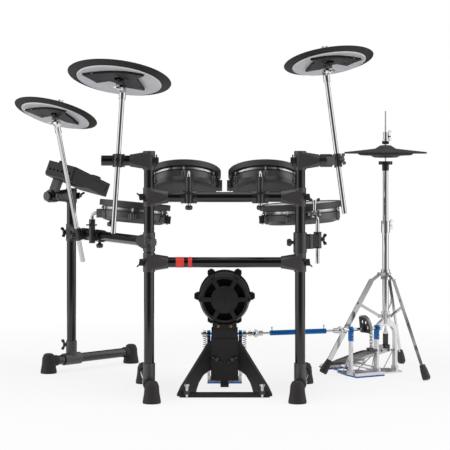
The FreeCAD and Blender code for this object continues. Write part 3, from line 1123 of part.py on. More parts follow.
    felts = [turned([(5.7, HAT_Z - 10), (13, HAT_Z - 10), (13, HAT_Z + 2.8), (5.7, HAT_Z + 3.4)]),
             turned([(5.7, HAT_Z + 34), (14, HAT_Z + 34), (14, HAT_Z + 46), (5.7, HAT_Z + 46)]),
             turned([(5.7, HAT_Z + 46), (12, HAT_Z + 46), (12, HAT_Z + 51), (5.7, HAT_Z + 51)])]
    grip = wing_bolt(V(10, 0, HAT_Z + 70), RIGHT, UP, 3)
    clutch = clutch.cut(rod(V(0, 0, HAT_Z + 70), V(60, 0, HAT_Z + 70), BOLT_R + BOLT_FIT))
    save("hihat_pull_rod", [placed(shape, place) for shape in [pull, clutch, grip] + felts])
    hole = 8.0
    size = CRASH_R
    low = HAT_Z
    bow = turned([(hole, low + 4), (hole, low + 30), (22, low + 29), (36, low + 20), (BELL_R, low + 16),
                  (size * 0.6, low + 9), (size - 2, low + 2), (size, low - 1), (size - 3, low - 5),
                  (size * 0.86, low - 4), (size * 0.84, low - 1), (BELL_R, low + 3)])
    body = turned([(24, low + 4), (size * 0.66, low + 3), (size * 0.66, low - 8), (size * 0.6, low - 12),
                   (60, low - 14), (46, low - 21), (24, low - 22)])
    save("hihat_pad", [placed(fused(bow, body), place)])


BOLTS = rack()
CYMBAL_CLAMPS, CYMBAL_BOLTS = cymbals()
PAD_RODS = []
PAD_CLAMPS = []
for made_rods, made_clamps, made_bolts in (toms(), floor_tom(), snare()):
    PAD_RODS += made_rods
    PAD_CLAMPS += made_clamps
    BOLTS += made_bolts
module()
pedals()
hihat()
BOLTS += CYMBAL_BOLTS + kick()
save("pad_rods", PAD_RODS)
save("rod_clamps", CYMBAL_CLAMPS + PAD_CLAMPS)
save("clamp_bolts", BOLTS)
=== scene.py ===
"""Studio scene of the drum kit: a finish for every piece, and the small dressed parts that ride on it."""
import json
import logging
import math
from dataclasses import dataclass, field
from enum import Enum
from typing import Any, Callable, Union

import bmesh
import bpy
from mathutils import Matrix, Vector


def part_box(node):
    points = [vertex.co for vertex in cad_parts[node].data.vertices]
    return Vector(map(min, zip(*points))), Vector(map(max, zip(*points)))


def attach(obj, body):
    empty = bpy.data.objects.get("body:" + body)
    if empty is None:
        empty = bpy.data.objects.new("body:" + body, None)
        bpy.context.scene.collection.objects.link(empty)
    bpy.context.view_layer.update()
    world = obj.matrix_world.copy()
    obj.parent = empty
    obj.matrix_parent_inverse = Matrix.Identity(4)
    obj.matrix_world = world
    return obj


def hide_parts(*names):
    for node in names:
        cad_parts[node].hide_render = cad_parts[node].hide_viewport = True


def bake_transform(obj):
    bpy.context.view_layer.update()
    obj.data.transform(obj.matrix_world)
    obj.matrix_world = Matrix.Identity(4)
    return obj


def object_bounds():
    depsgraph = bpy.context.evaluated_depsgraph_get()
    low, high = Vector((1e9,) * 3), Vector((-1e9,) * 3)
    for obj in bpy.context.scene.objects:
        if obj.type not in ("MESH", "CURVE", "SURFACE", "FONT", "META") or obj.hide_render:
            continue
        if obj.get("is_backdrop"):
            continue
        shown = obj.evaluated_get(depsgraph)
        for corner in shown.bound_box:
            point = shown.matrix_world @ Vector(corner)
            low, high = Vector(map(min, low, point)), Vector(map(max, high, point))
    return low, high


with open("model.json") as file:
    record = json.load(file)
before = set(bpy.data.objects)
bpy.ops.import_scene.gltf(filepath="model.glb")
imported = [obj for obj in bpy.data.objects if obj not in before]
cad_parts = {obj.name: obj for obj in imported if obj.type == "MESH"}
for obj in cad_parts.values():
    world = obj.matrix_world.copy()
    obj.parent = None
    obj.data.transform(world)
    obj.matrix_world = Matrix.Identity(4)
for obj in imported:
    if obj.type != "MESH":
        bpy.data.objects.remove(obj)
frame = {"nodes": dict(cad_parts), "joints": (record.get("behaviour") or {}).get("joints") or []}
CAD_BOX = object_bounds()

LOG = logging.getLogger("drum_kit")
Pair = tuple[float, float]
Triple = tuple[float, float, float]
Outline = tuple[Pair, ...]
Bar = tuple[float, float, float, int]
Number = Union[float, "Signal"]
ORIGIN = Vector()
ACROSS = Vector((1.0, 0.0, 0.0))
AHEAD = Vector((0.0, 1.0, 0.0))
UP = Vector((0.0, 0.0, 1.0))
WHITE = (1.0, 1.0, 1.0, 1.0)
MERGE = 1e-6
FACING_UP = 0.7
FAR = 9.0
EVERYWHERE = (-FAR, FAR)
NOISE_MIDDLE = 0.5
MIX_COLOURS = (6, 7)
MIX_RESULT = 2


class Slot(Enum):
    """Material slots of the record."""

    TUBE = "black_tube"
    CYMBAL = "cymbal_rubber"
    CHROME = "chrome"
    PAD = "pad_black"
    PANEL = "panel_black"
    KNOB = "knob_black"
    STEEL = "steel"


class Signal:
    """A shader socket that grows Math nodes as it is worked with."""

    def __init__(self, graph: "Graph", socket: bpy.types.NodeSocket) -> None:
        """Keep the socket and the graph that owns it."""
        self.graph = graph
        self.socket = socket

    def _math(self, operation: str, first: Number, second: Number = 0.0) -> "Signal":
        """Result of one new Math node."""
        node = self.graph.node("ShaderNodeMath", {"operation": operation}, {0: first, 1: second})
        return Signal(self.graph, node.outputs[0])

    def __add__(self, other: Number) -> "Signal":
        """Sum."""
        return self._math("ADD", self, other)

    __radd__ = __add__

    def __sub__(self, other: Number) -> "Signal":
        """Difference."""
        return self._math("SUBTRACT", self, other)

    def __rsub__(self, other: Number) -> "Signal":
        """Difference from a number."""
        return self._math("SUBTRACT", other, self)

    def __mul__(self, other: Number) -> "Signal":
        """Product."""
        return self._math("MULTIPLY", self, other)

    __rmul__ = __mul__

    def __gt__(self, other: Number) -> "Signal":
        """One where this is larger, otherwise nought."""
        return self._math("GREATER_THAN", self, other)

    def __lt__(self, other: Number) -> "Signal":
        """One where this is smaller, otherwise nought."""
        return self._math("LESS_THAN", self, other)

    def sine(self) -> "Signal":
        """Sine of this signal."""
        return self._math("SINE", self)

    def size(self) -> "Signal":
        """Absolute value of this signal."""
        return self._math("ABSOLUTE", self)

    def most(self, other: Number) -> "Signal":
        """Larger of two."""
        return self._math("MAXIMUM", self, other)

    def between(self, low: float, high: float) -> "Signal":
        """One where this lies between two numbers, otherwise nought."""
        return (self > low) * (self < high)

    def span(self, other: "Signal") -> "Signal":
        """Length of the slant over two sides."""
        return self._math("SQRT", self * self + other * other)


class Graph:
    """A node tree and the one way that nodes come into it."""

    def __init__(self, tree: bpy.types.NodeTree) -> None:
        """Empty the tree."""
        self.tree = tree
        self.tree.nodes.clear()

    def node(self, kind: str, settings: dict[str, Any] | None = None,
             inputs: dict[Any, Any] | None = None) -> bpy.types.Node:
        """Add a node.

        Args:
            kind: the node's type.
            settings: what is set first: attributes by name, or a ramp's stops.
            inputs: socket name or index to a value, a Signal or a socket.

        Returns:
            The new node.
        """
        node = self.tree.nodes.new(kind)
        for key, value in (settings or {}).items():
            if key == "stops":
                self.grade(node.color_ramp, value)
            else:
                setattr(node, key, value)
        for key, value in (inputs or {}).items():
            self.feed(node.inputs[key], value)
        return node

    @staticmethod
    def grade(ramp: bpy.types.ColorRamp, stops: Outline) -> None:
        """Set a new ramp's stops to greys.

        Args:
            ramp: the ramp.
            stops: (place, level) of each stop, in rising order.
        """
        while len(ramp.elements) < len(stops):
            ramp.elements.new(1.0)
        for element, (place, level) in zip(ramp.elements, stops):
            element.position = place
            element.color = (level, level, level, 1.0)

    def feed(self, socket: bpy.types.NodeSocket, value: Any) -> None:
        """Link or set one socket.

        Args:
            socket: the input socket.
            value: a Signal, a socket or a plain value.
        """
        if isinstance(value, Signal):
            self.tree.links.new(value.socket, socket)
        elif isinstance(value, bpy.types.NodeSocket):
            self.tree.links.new(value, socket)
        else:
            socket.default_value = value


class Shader(Graph):
    """One material and the nodes that make it."""

    def __init__(self, name: str) -> None:
        """Start a material with a bare Principled surface.

        Args:
            name: the material's name.
        """
        self.material = bpy.data.materials.new(name)
        self.material.use_nodes = True
        super().__init__(self.material.node_tree)
        self.surface = self.node("ShaderNodeBsdfPrincipled")
        self.end = self.node("ShaderNodeOutputMaterial", None, {"Surface": self.surface.outputs[0]})
        self.place = self.node("ShaderNodeTexCoord").outputs["Object"]

    def lay(self, sockets: dict[str, Any]) -> None:
        """Feed the surface's sockets by name."""
        for name, value in sockets.items():
            self.feed(self.surface.inputs[name], value)

    def noise(self, scale: float, detail: float = 2.0) -> Signal:
        """Cloudy noise about one half, over the piece's own coordinates."""
        inputs = {"Vector": self.place, "Scale": scale, "Detail": detail}
        return Signal(self, self.node("ShaderNodeTexNoise", None, inputs).outputs[0])

    def part(self, vector: bpy.types.NodeSocket, axis: Vector) -> Signal:
        """Part of a vector that lies along an axis."""
        node = self.node("ShaderNodeVectorMath", {"operation": "DOT_PRODUCT"}, {0: vector, 1: tuple(axis)})
        return Signal(self, node.outputs["Value"])

    def along(self, axis: Vector, origin: Vector = ORIGIN) -> Signal:
        """Distance of a point along an axis, in metres from an origin."""
        arm = self.node("ShaderNodeVectorMath", {"operation": "SUBTRACT"}, {0: self.place, 1: tuple(origin)})
        return self.part(arm.outputs[0], axis)

    def facing(self, axis: Vector) -> Signal:
        """How far the surface faces along an axis, from -1 to 1."""
        return self.part(self.node("ShaderNodeNewGeometry").outputs["True Normal"], axis)

    def blend(self, mask: Number, first: Any, second: Any) -> bpy.types.NodeSocket:
        """Mix two colours.

        Args:
            mask: nought for the first, one for the second.
            first: colour or socket.
            second: colour or socket.

        Returns:
            The mixed colour's socket.
        """
        node = self.node("ShaderNodeMix", {"data_type": "RGBA"}, {0: mask})
        for index, value in zip(MIX_COLOURS, (first, second)):
            self.feed(node.inputs[index], (*value, 1.0) if isinstance(value, tuple) else value)
        return node.outputs[MIX_RESULT]

    def relief(self, height: Signal, depth: float) -> None:
        """Raise the surface by a height signal, by so many metres from low to high."""
        bump = self.node("ShaderNodeBump", None, {"Height": height, "Distance": depth, "Strength": 1.0})
        self.feed(self.surface.inputs["Normal"], bump.outputs[0])


Mask = Callable[[Shader], Signal]


@dataclass(frozen=True)
class Finish:
    """A surface: its colour, gloss and fine texture."""

    name: str
    colour: Triple
    roughness: float
    metallic: float = 0.0
    coat: float = 0.0
    coat_roughness: float = 0.08
    grain: float = 900.0
    grain_detail: float = 3.0
    grain_share: float = 0.6
    cloud: float = 9.0
    mottle: float = 0.12
    wander: float = 0.08
    specular: float = 0.5
    depth: float = 0.00006

    def tone(self, shader: Shader) -> tuple[bpy.types.NodeSocket, Signal, Signal]:
        """Add this finish's colour and gloss to a shader.

        Args:
            shader: the shader to add to.

        Returns:
            Colour socket, roughness signal and grain signal.
        """
        grain = shader.noise(self.grain, self.grain_detail)
        cloud = shader.noise(self.cloud)
        dark, light = (tuple(min(1.0, channel * level) for channel in self.colour)
                       for level in (1.0 - self.mottle, 1.0 + self.mottle))
        colour = shader.blend(grain * self.grain_share + cloud * (1.0 - self.grain_share), dark, light)
        fine = (grain - NOISE_MIDDLE) * (self.wander * self.grain_share)
        return colour, self.roughness + (cloud - NOISE_MIDDLE) * self.wander + fine, grain

    def material(self) -> bpy.types.Material:
        """Make the finish as a material of its own."""
        return ZonedFinish(self.name, self).material()


@dataclass(frozen=True)
class ZonedFinish:
    """A base finish with others laid over parts of the piece."""

    name: str
    base: Finish
    zones: tuple[tuple[Finish, Mask], ...] = ()

    def material(self) -> bpy.types.Material:
        """Make one material of all the zones.

        Returns:
            The material.
        """
        shader = Shader(self.name)
        colour, rough, grain = self.base.tone(shader)
        metallic: Number = self.base.metallic
        for finish, mask in self.zones:
            cover = mask(shader)
            over_colour, over_rough, _ = finish.tone(shader)
            colour = shader.blend(cover, colour, over_colour)
            rough = rough + cover * (over_rough - rough)
            if isinstance(metallic, Signal) or finish.metallic != metallic:
                metallic = cover * (finish.metallic - metallic) + metallic
        shader.lay({"Base Color": colour, "Roughness": rough, "Metallic": metallic,
                    "Coat Weight": self.base.coat, "Coat Roughness": self.base.coat_roughness,
                    "Specular IOR Level": self.base.specular})
        shader.relief(grain, self.base.depth)
        return shader.material


class Paint:
    """The finishes of this kit."""

    TUBE = Finish("gloss_black_tube", (0.003, 0.003, 0.0035), 0.11, grain=500.0, wander=0.03, specular=0.6,
                  depth=0.000003)
    TEE = Finish("matt_black_nylon", (0.032, 0.0275, 0.0300), 0.40, grain=1600.0, specular=0.8, depth=0.00005)
    CASTING = Finish("satin_black_casting", (0.010, 0.009, 0.0095), 0.36, grain=1200.0, specular=0.8,
                     depth=0.00005)
    RUBBER = Finish("foot_rubber", (0.028, 0.0245, 0.0258), 0.58, grain=1400.0, specular=0.25, depth=0.0001)
    CYMBAL = Finish("cymbal_rubber", (0.0150, 0.0138, 0.0142), 0.52, grain=1800.0, specular=0.22,
                    depth=0.0001)
    HAT = Finish("hat_rubber", (0.025, 0.0238, 0.0232), 0.55, grain=1800.0, specular=0.25, depth=0.0001)
    PLATE = Finish("silver_grey_plate", (0.66, 0.65, 0.69), 0.38, grain=700.0, mottle=0.05, depth=0.00003)
    PALE_LINE = Finish("pale_step_line", (0.78, 0.78, 0.80), 0.35, mottle=0.03)
    HOUSING = Finish("sensor_housing", (0.013, 0.0108, 0.0108), 0.42, grain=1500.0, specular=0.28)
    SHELL = Finish("satin_black_shell", (0.031, 0.0270, 0.0292), 0.36, grain=1100.0, specular=1.0,
                   depth=0.00005)
    # Painted shade: a darker, rougher finish laid on a shell's downward faces.
    SHADED_UNDERSIDE = Finish("painted_shade_underside", (0.007, 0.006, 0.006), 0.7, grain=1100.0, depth=0.00005)
    RIM = Finish("rubber_rim", (0.010, 0.009, 0.009), 0.55, grain=1500.0, specular=0.22, depth=0.0001)
    CHROME = Finish("polished_chrome", (0.58, 0.58, 0.59), 0.07, 1.0, grain=300.0, mottle=0.03, wander=0.03,
                    depth=0.000002)
    HOOP = Finish("hoop_chrome", (0.42, 0.42, 0.43), 0.16, 1.0, grain=400.0, mottle=0.03, wander=0.04,
                  depth=0.00001)
    PLATED = Finish("plated_steel", (0.60, 0.60, 0.61), 0.14, 1.0, grain=500.0, mottle=0.04, wander=0.06,
                    depth=0.000006)
    ALLOY = Finish("cast_alloy", (0.74, 0.72, 0.74), 0.32, 0.7, mottle=0.06, wander=0.12, depth=0.00003)
    BLUE = Finish("blue_anodised", (0.008, 0.115, 0.36), 0.26, 0.9, mottle=0.06, depth=0.00002)
    BOARD = Finish("dark_footboard", (0.075, 0.075, 0.08), 0.40, 0.7, grain=800.0)
    PALE_BOARD = Finish("silver_footboard", (0.42, 0.42, 0.43), 0.34, 0.9, grain=800.0)
    STEEL = Finish("spring_steel", (0.42, 0.42, 0.43), 0.26, 1.0, mottle=0.06, depth=0.00002)
    CHAIN = Finish("chain_steel", (0.22, 0.21, 0.20), 0.36, 1.0)
    CAM = Finish("black_sprocket", (0.020, 0.019, 0.020), 0.42, 0.3, specular=0.3)
    FELT = Finish("pressed_felt", (0.36, 0.34, 0.31), 0.95, grain=2600.0, mottle=0.3, depth=0.0003)
    DARK_FELT = Finish("black_felt", (0.016, 0.015, 0.0145), 0.95, grain=2600.0, mottle=0.3, specular=0.2,
                       depth=0.0003)
    MODULE = Finish("module_moulding", (0.024, 0.0215, 0.0225), 0.44, grain=1700.0, specular=0.28,
                    depth=0.00008)
    PANEL = Finish("gloss_panel", (0.009, 0.009, 0.010), 0.16, coat=0.4, grain=600.0, depth=0.00001)
    KNOB = Finish("soft_knob", (0.026, 0.026, 0.027), 0.55, grain=1600.0, specular=0.3)
    KICK = Finish("charcoal_kick", (0.017, 0.0158, 0.0168), 0.42, grain=1300.0, specular=0.28, depth=0.00007)
    # Painted shade: near black laid where the kick shell's inside lies in shadow.
    PAINTED_SHADE_RECESS = Finish("painted_shade_recess", (0.002, 0.002, 0.002), 0.8, specular=0.1)
    RED = Finish("red_band", (0.74, 0.045, 0.032), 0.4, mottle=0.05)
    SCREEN = Finish("display_glass", (0.03, 0.045, 0.06), 0.08, coat=1.0, mottle=0.05)
    AMBER = Finish("key_lamp", (0.55, 0.28, 0.04), 0.3, mottle=0.05)
    BRASS = Finish("brass_ring", (0.32, 0.24, 0.11), 0.3, 0.9)


@dataclass(frozen=True)
class WovenHead:
    """The two-ply mesh of a drum pad's head."""

    name: str = "woven_mesh"
    thread: float = 0.0011
    hole: Triple = (0.30, 0.30, 0.30)
    yarn: tuple[Triple, Triple] = ((0.60, 0.60, 0.59), (0.70, 0.70, 0.68))
    cloud: float = 14.0
    roughness: float = 0.62
    wander: float = 0.1
    depth: float = 0.0002

    def material(self) -> bpy.types.Material:
        """Make crossed threads with small dark holes between them.

        Returns:
            The material.
        """
        shader = Shader(self.name)
        pitch = 2.0 * math.pi / self.thread
        warp, weft = ((shader.along(way) * pitch).sine().size() for way in (ACROSS, AHEAD))
        weave = warp.most(weft)
        cloud = shader.noise(self.cloud)
        shader.lay({"Base Color": shader.blend(weave, self.hole, shader.blend(cloud, *self.yarn)),
                    "Roughness": self.roughness + (cloud - NOISE_MIDDLE) * self.wander})
        shader.relief(weave, self.depth)
        return shader.material


@dataclass(frozen=True)
class PaleFloor:
    name: str = "pale_floor"
    middle: Triple = (0.0, 0.35, 0.0)
    pale: tuple[Triple, Triple] = ((0.88, 0.88, 0.88), (0.91, 0.91, 0.91))
    cloud: float = 3.0
    roughness: float = 0.9
    shadow: float = 0.20
    reach: Pair = (1.0, 2.2)

    def material(self) -> bpy.types.Material:
        """Make the pale surface and lay white over it for the rays that see it.

        Returns:
            The material.
        """
        shader = Shader(self.name)
        shader.lay({"Base Color": shader.blend(shader.noise(self.cloud), *self.pale),
                    "Roughness": self.roughness})
        path = shader.node("ShaderNodeLightPath").outputs
        seen = Signal(shader, path["Is Camera Ray"]).most(Signal(shader, path["Is Glossy Ray"]))
        near, far = self.reach
        white = shader.node("ShaderNodeMapRange", None, {
            "Value": Axis(Vector(self.middle), UP).radius(shader), "From Min": near, "From Max": far,
            "To Min": 1.0 - self.shadow, "To Max": 1.0})
        glow = shader.node("ShaderNodeEmission", None, {"Color": WHITE, "Strength": 1.0})
        mix = shader.node("ShaderNodeMixShader", None, {
            0: seen * Signal(shader, white.outputs["Result"]), 1: shader.surface.outputs[0],
            2: glow.outputs[0]})
        shader.feed(shader.end.inputs["Surface"], mix.outputs[0])
        return shader.material


Surface = Union[Finish, ZonedFinish, WovenHead, PaleFloor]


class Wardrobe:
    """Makes each finish once and lays it on frame nodes."""

    def __init__(self) -> None:
        """Start with no materials."""
        self.made: dict[str, bpy.types.Material] = {}

    def get(self, surface: Surface) -> bpy.types.Material:
        """The material of a finish, made on first use.

        Args:
            surface: the finish.

        Returns:
            The material.
        """
        if surface.name not in self.made:
            self.made[surface.name] = surface.material()
        return self.made[surface.name]

    def dress(self, node: str, finish: Union[Finish, WovenHead], *zones: tuple[Finish, Mask]) -> None:
        """Lay a finish on a frame node.

        Args:
            node: the node's name.
            finish: what covers it.
            zones: other finishes over parts of it, each with its mask.
        """
        worn = ZonedFinish(f"{node}_finish", finish, zones) if zones else finish
        data = frame["nodes"][node].data
        data.materials.clear()
        data.materials.append(self.get(worn))
        LOG.info("dressed %s in %s", node, worn.name)


WARDROBE = Wardrobe()


@dataclass(frozen=True)
class Axis:
    """A round piece's middle and the way it faces."""

    centre: Vector
    normal: Vector

    def radius(self, shader: Shader) -> Signal:
        """Distance from the axis.

        Args:
            shader: the shader to add to.

        Returns:
            The distance in metres.
        """
        side = self.normal.orthogonal().normalized()
        first, second = (shader.along(way, self.centre) for way in (side, self.normal.cross(side)))
        return first.span(second)

    def height(self, shader: Shader) -> Signal:
        """Distance along the axis."""
        return shader.along(self.normal, self.centre)

    def within(self, radius: Pair = EVERYWHERE, height: Pair = EVERYWHERE) -> Mask:
        """A mask that is one between two radii and two heights, otherwise nought."""
        return lambda shader: self.radius(shader).between(*radius) * self.height(shader).between(*height)

    def matrix(self) -> Matrix:
        """Place of a turned piece whose own Z is this axis."""
        return Matrix.Translation(self.centre) @ self.normal.to_track_quat("Z", "Y").to_matrix().to_4x4()

    def square(self, across: Vector) -> Matrix:
        """Place of a piece whose own Z is this axis and whose X runs along a given way."""
        turn = Matrix((across, self.normal.cross(across), self.normal)).transposed()
        return Matrix.Translation(self.centre) @ turn.to_4x4()


def slab(way: Vector, low: float, high: float, origin: Vector = ORIGIN) -> Mask:
    """A mask that is one between two distances along a way, otherwise nought."""
    return lambda shader: shader.along(way, origin).between(low, high)


def joint(name: str) -> dict[str, Any]:
    """The frame's joint of that name."""
    return next(item for item in frame["joints"] if item["name"] == name)


def joint_spot(name: str) -> Vector:
    """Where the frame's joint of that name stands."""
    return Vector(joint(name)["pos_m"])


def joint_way(name: str) -> Vector:
    """The axis of the frame's joint of that name."""
    return Vector(joint(name)["axis"])


def node_box(node: str) -> tuple[Vector, Vector]:
    """Lowest and highest corner of a frame node."""
    low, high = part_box(node)
    return Vector(low), Vector(high)


def head_axis(node: str) -> Axis:
    """Find a round head's axis from its own faces.

    Args:
        node: the head's node name.

    Returns:
        The axis through the middle of the head.
    """
    total = Vector()
    for face in frame["nodes"][node].data.polygons:
        if face.normal.z > FACING_UP:
            total += face.normal * face.area
    low, high = node_box(node)
    return Axis((low + high) / 2, total.normalized())


class Former:
    """Shapes a mesh step by step and hands it over as a piece."""

    def __init__(self) -> None:
        """Start an empty mesh."""
        self.mesh = bmesh.new()

    def settle(self, older: set[bmesh.types.BMVert], place: Matrix) -> "Former":
        """Move all but the older vertices to their place."""
        bmesh.ops.transform(self.mesh, matrix=place, verts=list(set(self.mesh.verts) - older))
        return self

    def moved(self, place: Matrix) -> "Former":
        """Move everything shaped so far."""
        return self.settle(set(), place)

    def close(self) -> "Former":
        """Merge doubles and turn all faces outwards.

        Returns:
            This former.
        """
        bmesh.ops.remove_doubles(self.mesh, verts=self.mesh.verts, dist=MERGE)
        bmesh.ops.recalc_face_normals(self.mesh, faces=self.mesh.faces)
        return self

    def soften(self, edges: list[bmesh.types.BMEdge], width: float, segments: int) -> None:
        """Round edges, unless the width is nought."""
        if width:
            bmesh.ops.bevel(self.mesh, geom=edges, offset=width, affect="EDGES", segments=segments,
                            profile=0.5, material=-1)

    def lathe(self, outline: Outline, steps: int, place: Matrix = Matrix(), ring: bool = True) -> "Former":
        """Turn an outline about Z.

        Args:
            outline: (radius, height) points.
            steps: sides of the turn.
            place: where the turned shape goes.
            ring: whether the outline runs back to its first point.

        Returns:
            This former.
        """
        older = set(self.mesh.verts)
        points = (*outline, outline[0]) if ring else outline
        verts = [self.mesh.verts.new((radius, 0.0, height)) for radius, height in points]
        edges = [self.mesh.edges.new(pair) for pair in zip(verts, verts[1:])]
        bmesh.ops.spin(self.mesh, geom=verts + edges, cent=ORIGIN, axis=UP, dvec=ORIGIN, angle=2.0 * math.pi,
                       steps=steps, use_merge=True)
        return self.settle(older, place).close()

    def coil(self, radius: float, wire: float, length: float, turns: int, steps: int = 18) -> "Former":
        """Wind a wire about Z from the floor up.

        Args:
            radius: of the coil's middle line.
            wire: radius of the wire.
            length: from the first turn's middle to the last's.
            turns: whole turns.
            steps: sides of a turn.

        Returns:
            This former.
        """
        circle = bmesh.ops.create_circle(self.mesh, cap_ends=False, segments=10, radius=wire)["verts"]
        upright = Matrix.Translation(ACROSS * radius) @ Matrix.Rotation(math.pi / 2, 4, "X")
        bmesh.ops.transform(self.mesh, matrix=upright, verts=circle)
        first = list(self.mesh.edges)
        count = turns * steps
        made = bmesh.ops.spin(self.mesh, geom=circle + first, cent=ORIGIN, axis=UP, steps=count,
                              dvec=UP * (length / count), angle=2.0 * math.pi * turns)
        last = [item for item in made["geom_last"] if isinstance(item, bmesh.types.BMEdge)]
        for loop in (first, last):
            bmesh.ops.contextual_create(self.mesh, geom=loop)
        return self.close()

    def block(self, size: Triple, place: Matrix, bevel: float, segments: int = 2) -> "Former":
        """Add a box with rounded edges.

        Args:
            size: full length along each axis.
            place: where its middle goes.
            bevel: width of the rounding.
            segments: steps of the rounding.

        Returns:
            This former.
        """
        older = set(self.mesh.verts)
        bmesh.ops.create_cube(self.mesh, size=1.0, matrix=Matrix.Diagonal((*size, 1.0)))
        edges = [edge for edge in self.mesh.edges if edge.verts[0] not in older]
        self.soften(edges, bevel, segments)
        return self.settle(older, place)

    def drum(self, bar: Bar, place: Matrix) -> "Former":
        """Add a short cylinder on local Z with rounded rims.

        Args:
            bar: its radius, length, rounding and number of sides.
            place: where the middle of its foot goes.

        Returns:
            This former.
        """
        radius, length, bevel, sides = bar
        older = set(self.mesh.verts)
        bmesh.ops.create_cone(self.mesh, cap_ends=True, segments=sides, radius1=radius, radius2=radius,
                              depth=length)
        edges = [edge for edge in self.mesh.edges if edge.verts[0] not in older]
        rims = [edge for edge in edges if edge.verts[0].co.z * edge.verts[1].co.z > 0.0]
        self.soften(rims, bevel, segments=2)
        return self.settle(older, place @ Matrix.Translation(UP * (length / 2)))

    def piece(self, name: str, finish: Surface, body: str | None = None, slot: Slot | None = None,
              crisp: float = 40.0) -> bpy.types.Object:
        """Finish the mesh as an object of the scene.

        Args:
            name: the object's name.
            finish: what covers it.
            body: the frame body it rides on, if it rides on one.
            slot: the record's material slot; not used.
            crisp: edges over this angle in degrees stay crisp.

        Returns:
            The object.
        """
        data = bpy.data.meshes.new(name)
        self.mesh.to_mesh(data)
        self.mesh.free()
        data.materials.append(WARDROBE.get(finish))
        for face in data.polygons:
            face.use_smooth = True
        data.set_sharp_from_angle(angle=math.radians(crisp))
        item = bpy.data.objects.new(name, data)
        bpy.context.scene.collection.objects.link(item)
        if body:
            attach(item, body)
        LOG.info("piece %s: %d faces", name, len(data.polygons))
        return item


@dataclass
class Rack:
    """Pipes, tees, clamps and feet, the tower's bright spikes and the red bands on the lower bar."""

    bar_height: float = 0.4945
    band_radii: Pair = (0.0191, 0.01955)
    bands: Outline = ((-0.180, -0.150), (-0.135, -0.120))
    spike_spot: Pair = (0.138, -0.050)
    spike_radius: float = 0.0095
    spike_bare: tuple[Pair, Pair] = ((-FAR, 0.0135), (0.0265, 0.06))
    finishes: dict[str, Finish] = field(default_factory=lambda: {
        "rack_tubes": Paint.TUBE, "foot_bars": Paint.TUBE, "rack_tees": Paint.TEE, "pipe_caps": Paint.TEE,
        "rubber_feet": Paint.RUBBER, "rod_clamps": Paint.CASTING, "pad_rods": Paint.CHROME})

    def spike_mask(self, shader: Shader) -> Signal:
        """The bright spikes on the kick tower's cross bar, above and below its blocks.

        Args:
            shader: the shader to add to.

        Returns:
            One on the spikes, otherwise nought.
        """
        side, ahead = self.spike_spot
        off_spike = (shader.along(ACROSS).size() - side).span(shader.along(AHEAD) - ahead)
        below, above = (shader.along(UP).between(*span) for span in self.spike_bare)
        return (off_spike < self.spike_radius) * (below + above)

    def build(self) -> None:
        """Dress the rack and wrap its two bands."""
        for node, finish in self.finishes.items():
            WARDROBE.dress(node, finish)
        WARDROBE.dress("clamp_bolts", Paint.CASTING, (Paint.PLATED, self.spike_mask))
        place = Matrix.Translation(UP * self.bar_height) @ Matrix.Rotation(math.pi / 2, 4, "Y")
        inner, outer = self.band_radii
        for number, (start, end) in enumerate(self.bands, 1):
            outline = ((inner, start), (outer, start), (outer, end), (inner, end))
            band = Former().lathe(outline, steps=64, place=place)
            band.piece(f"red_band_{number}", Paint.RED, "rack", Slot.TUBE)


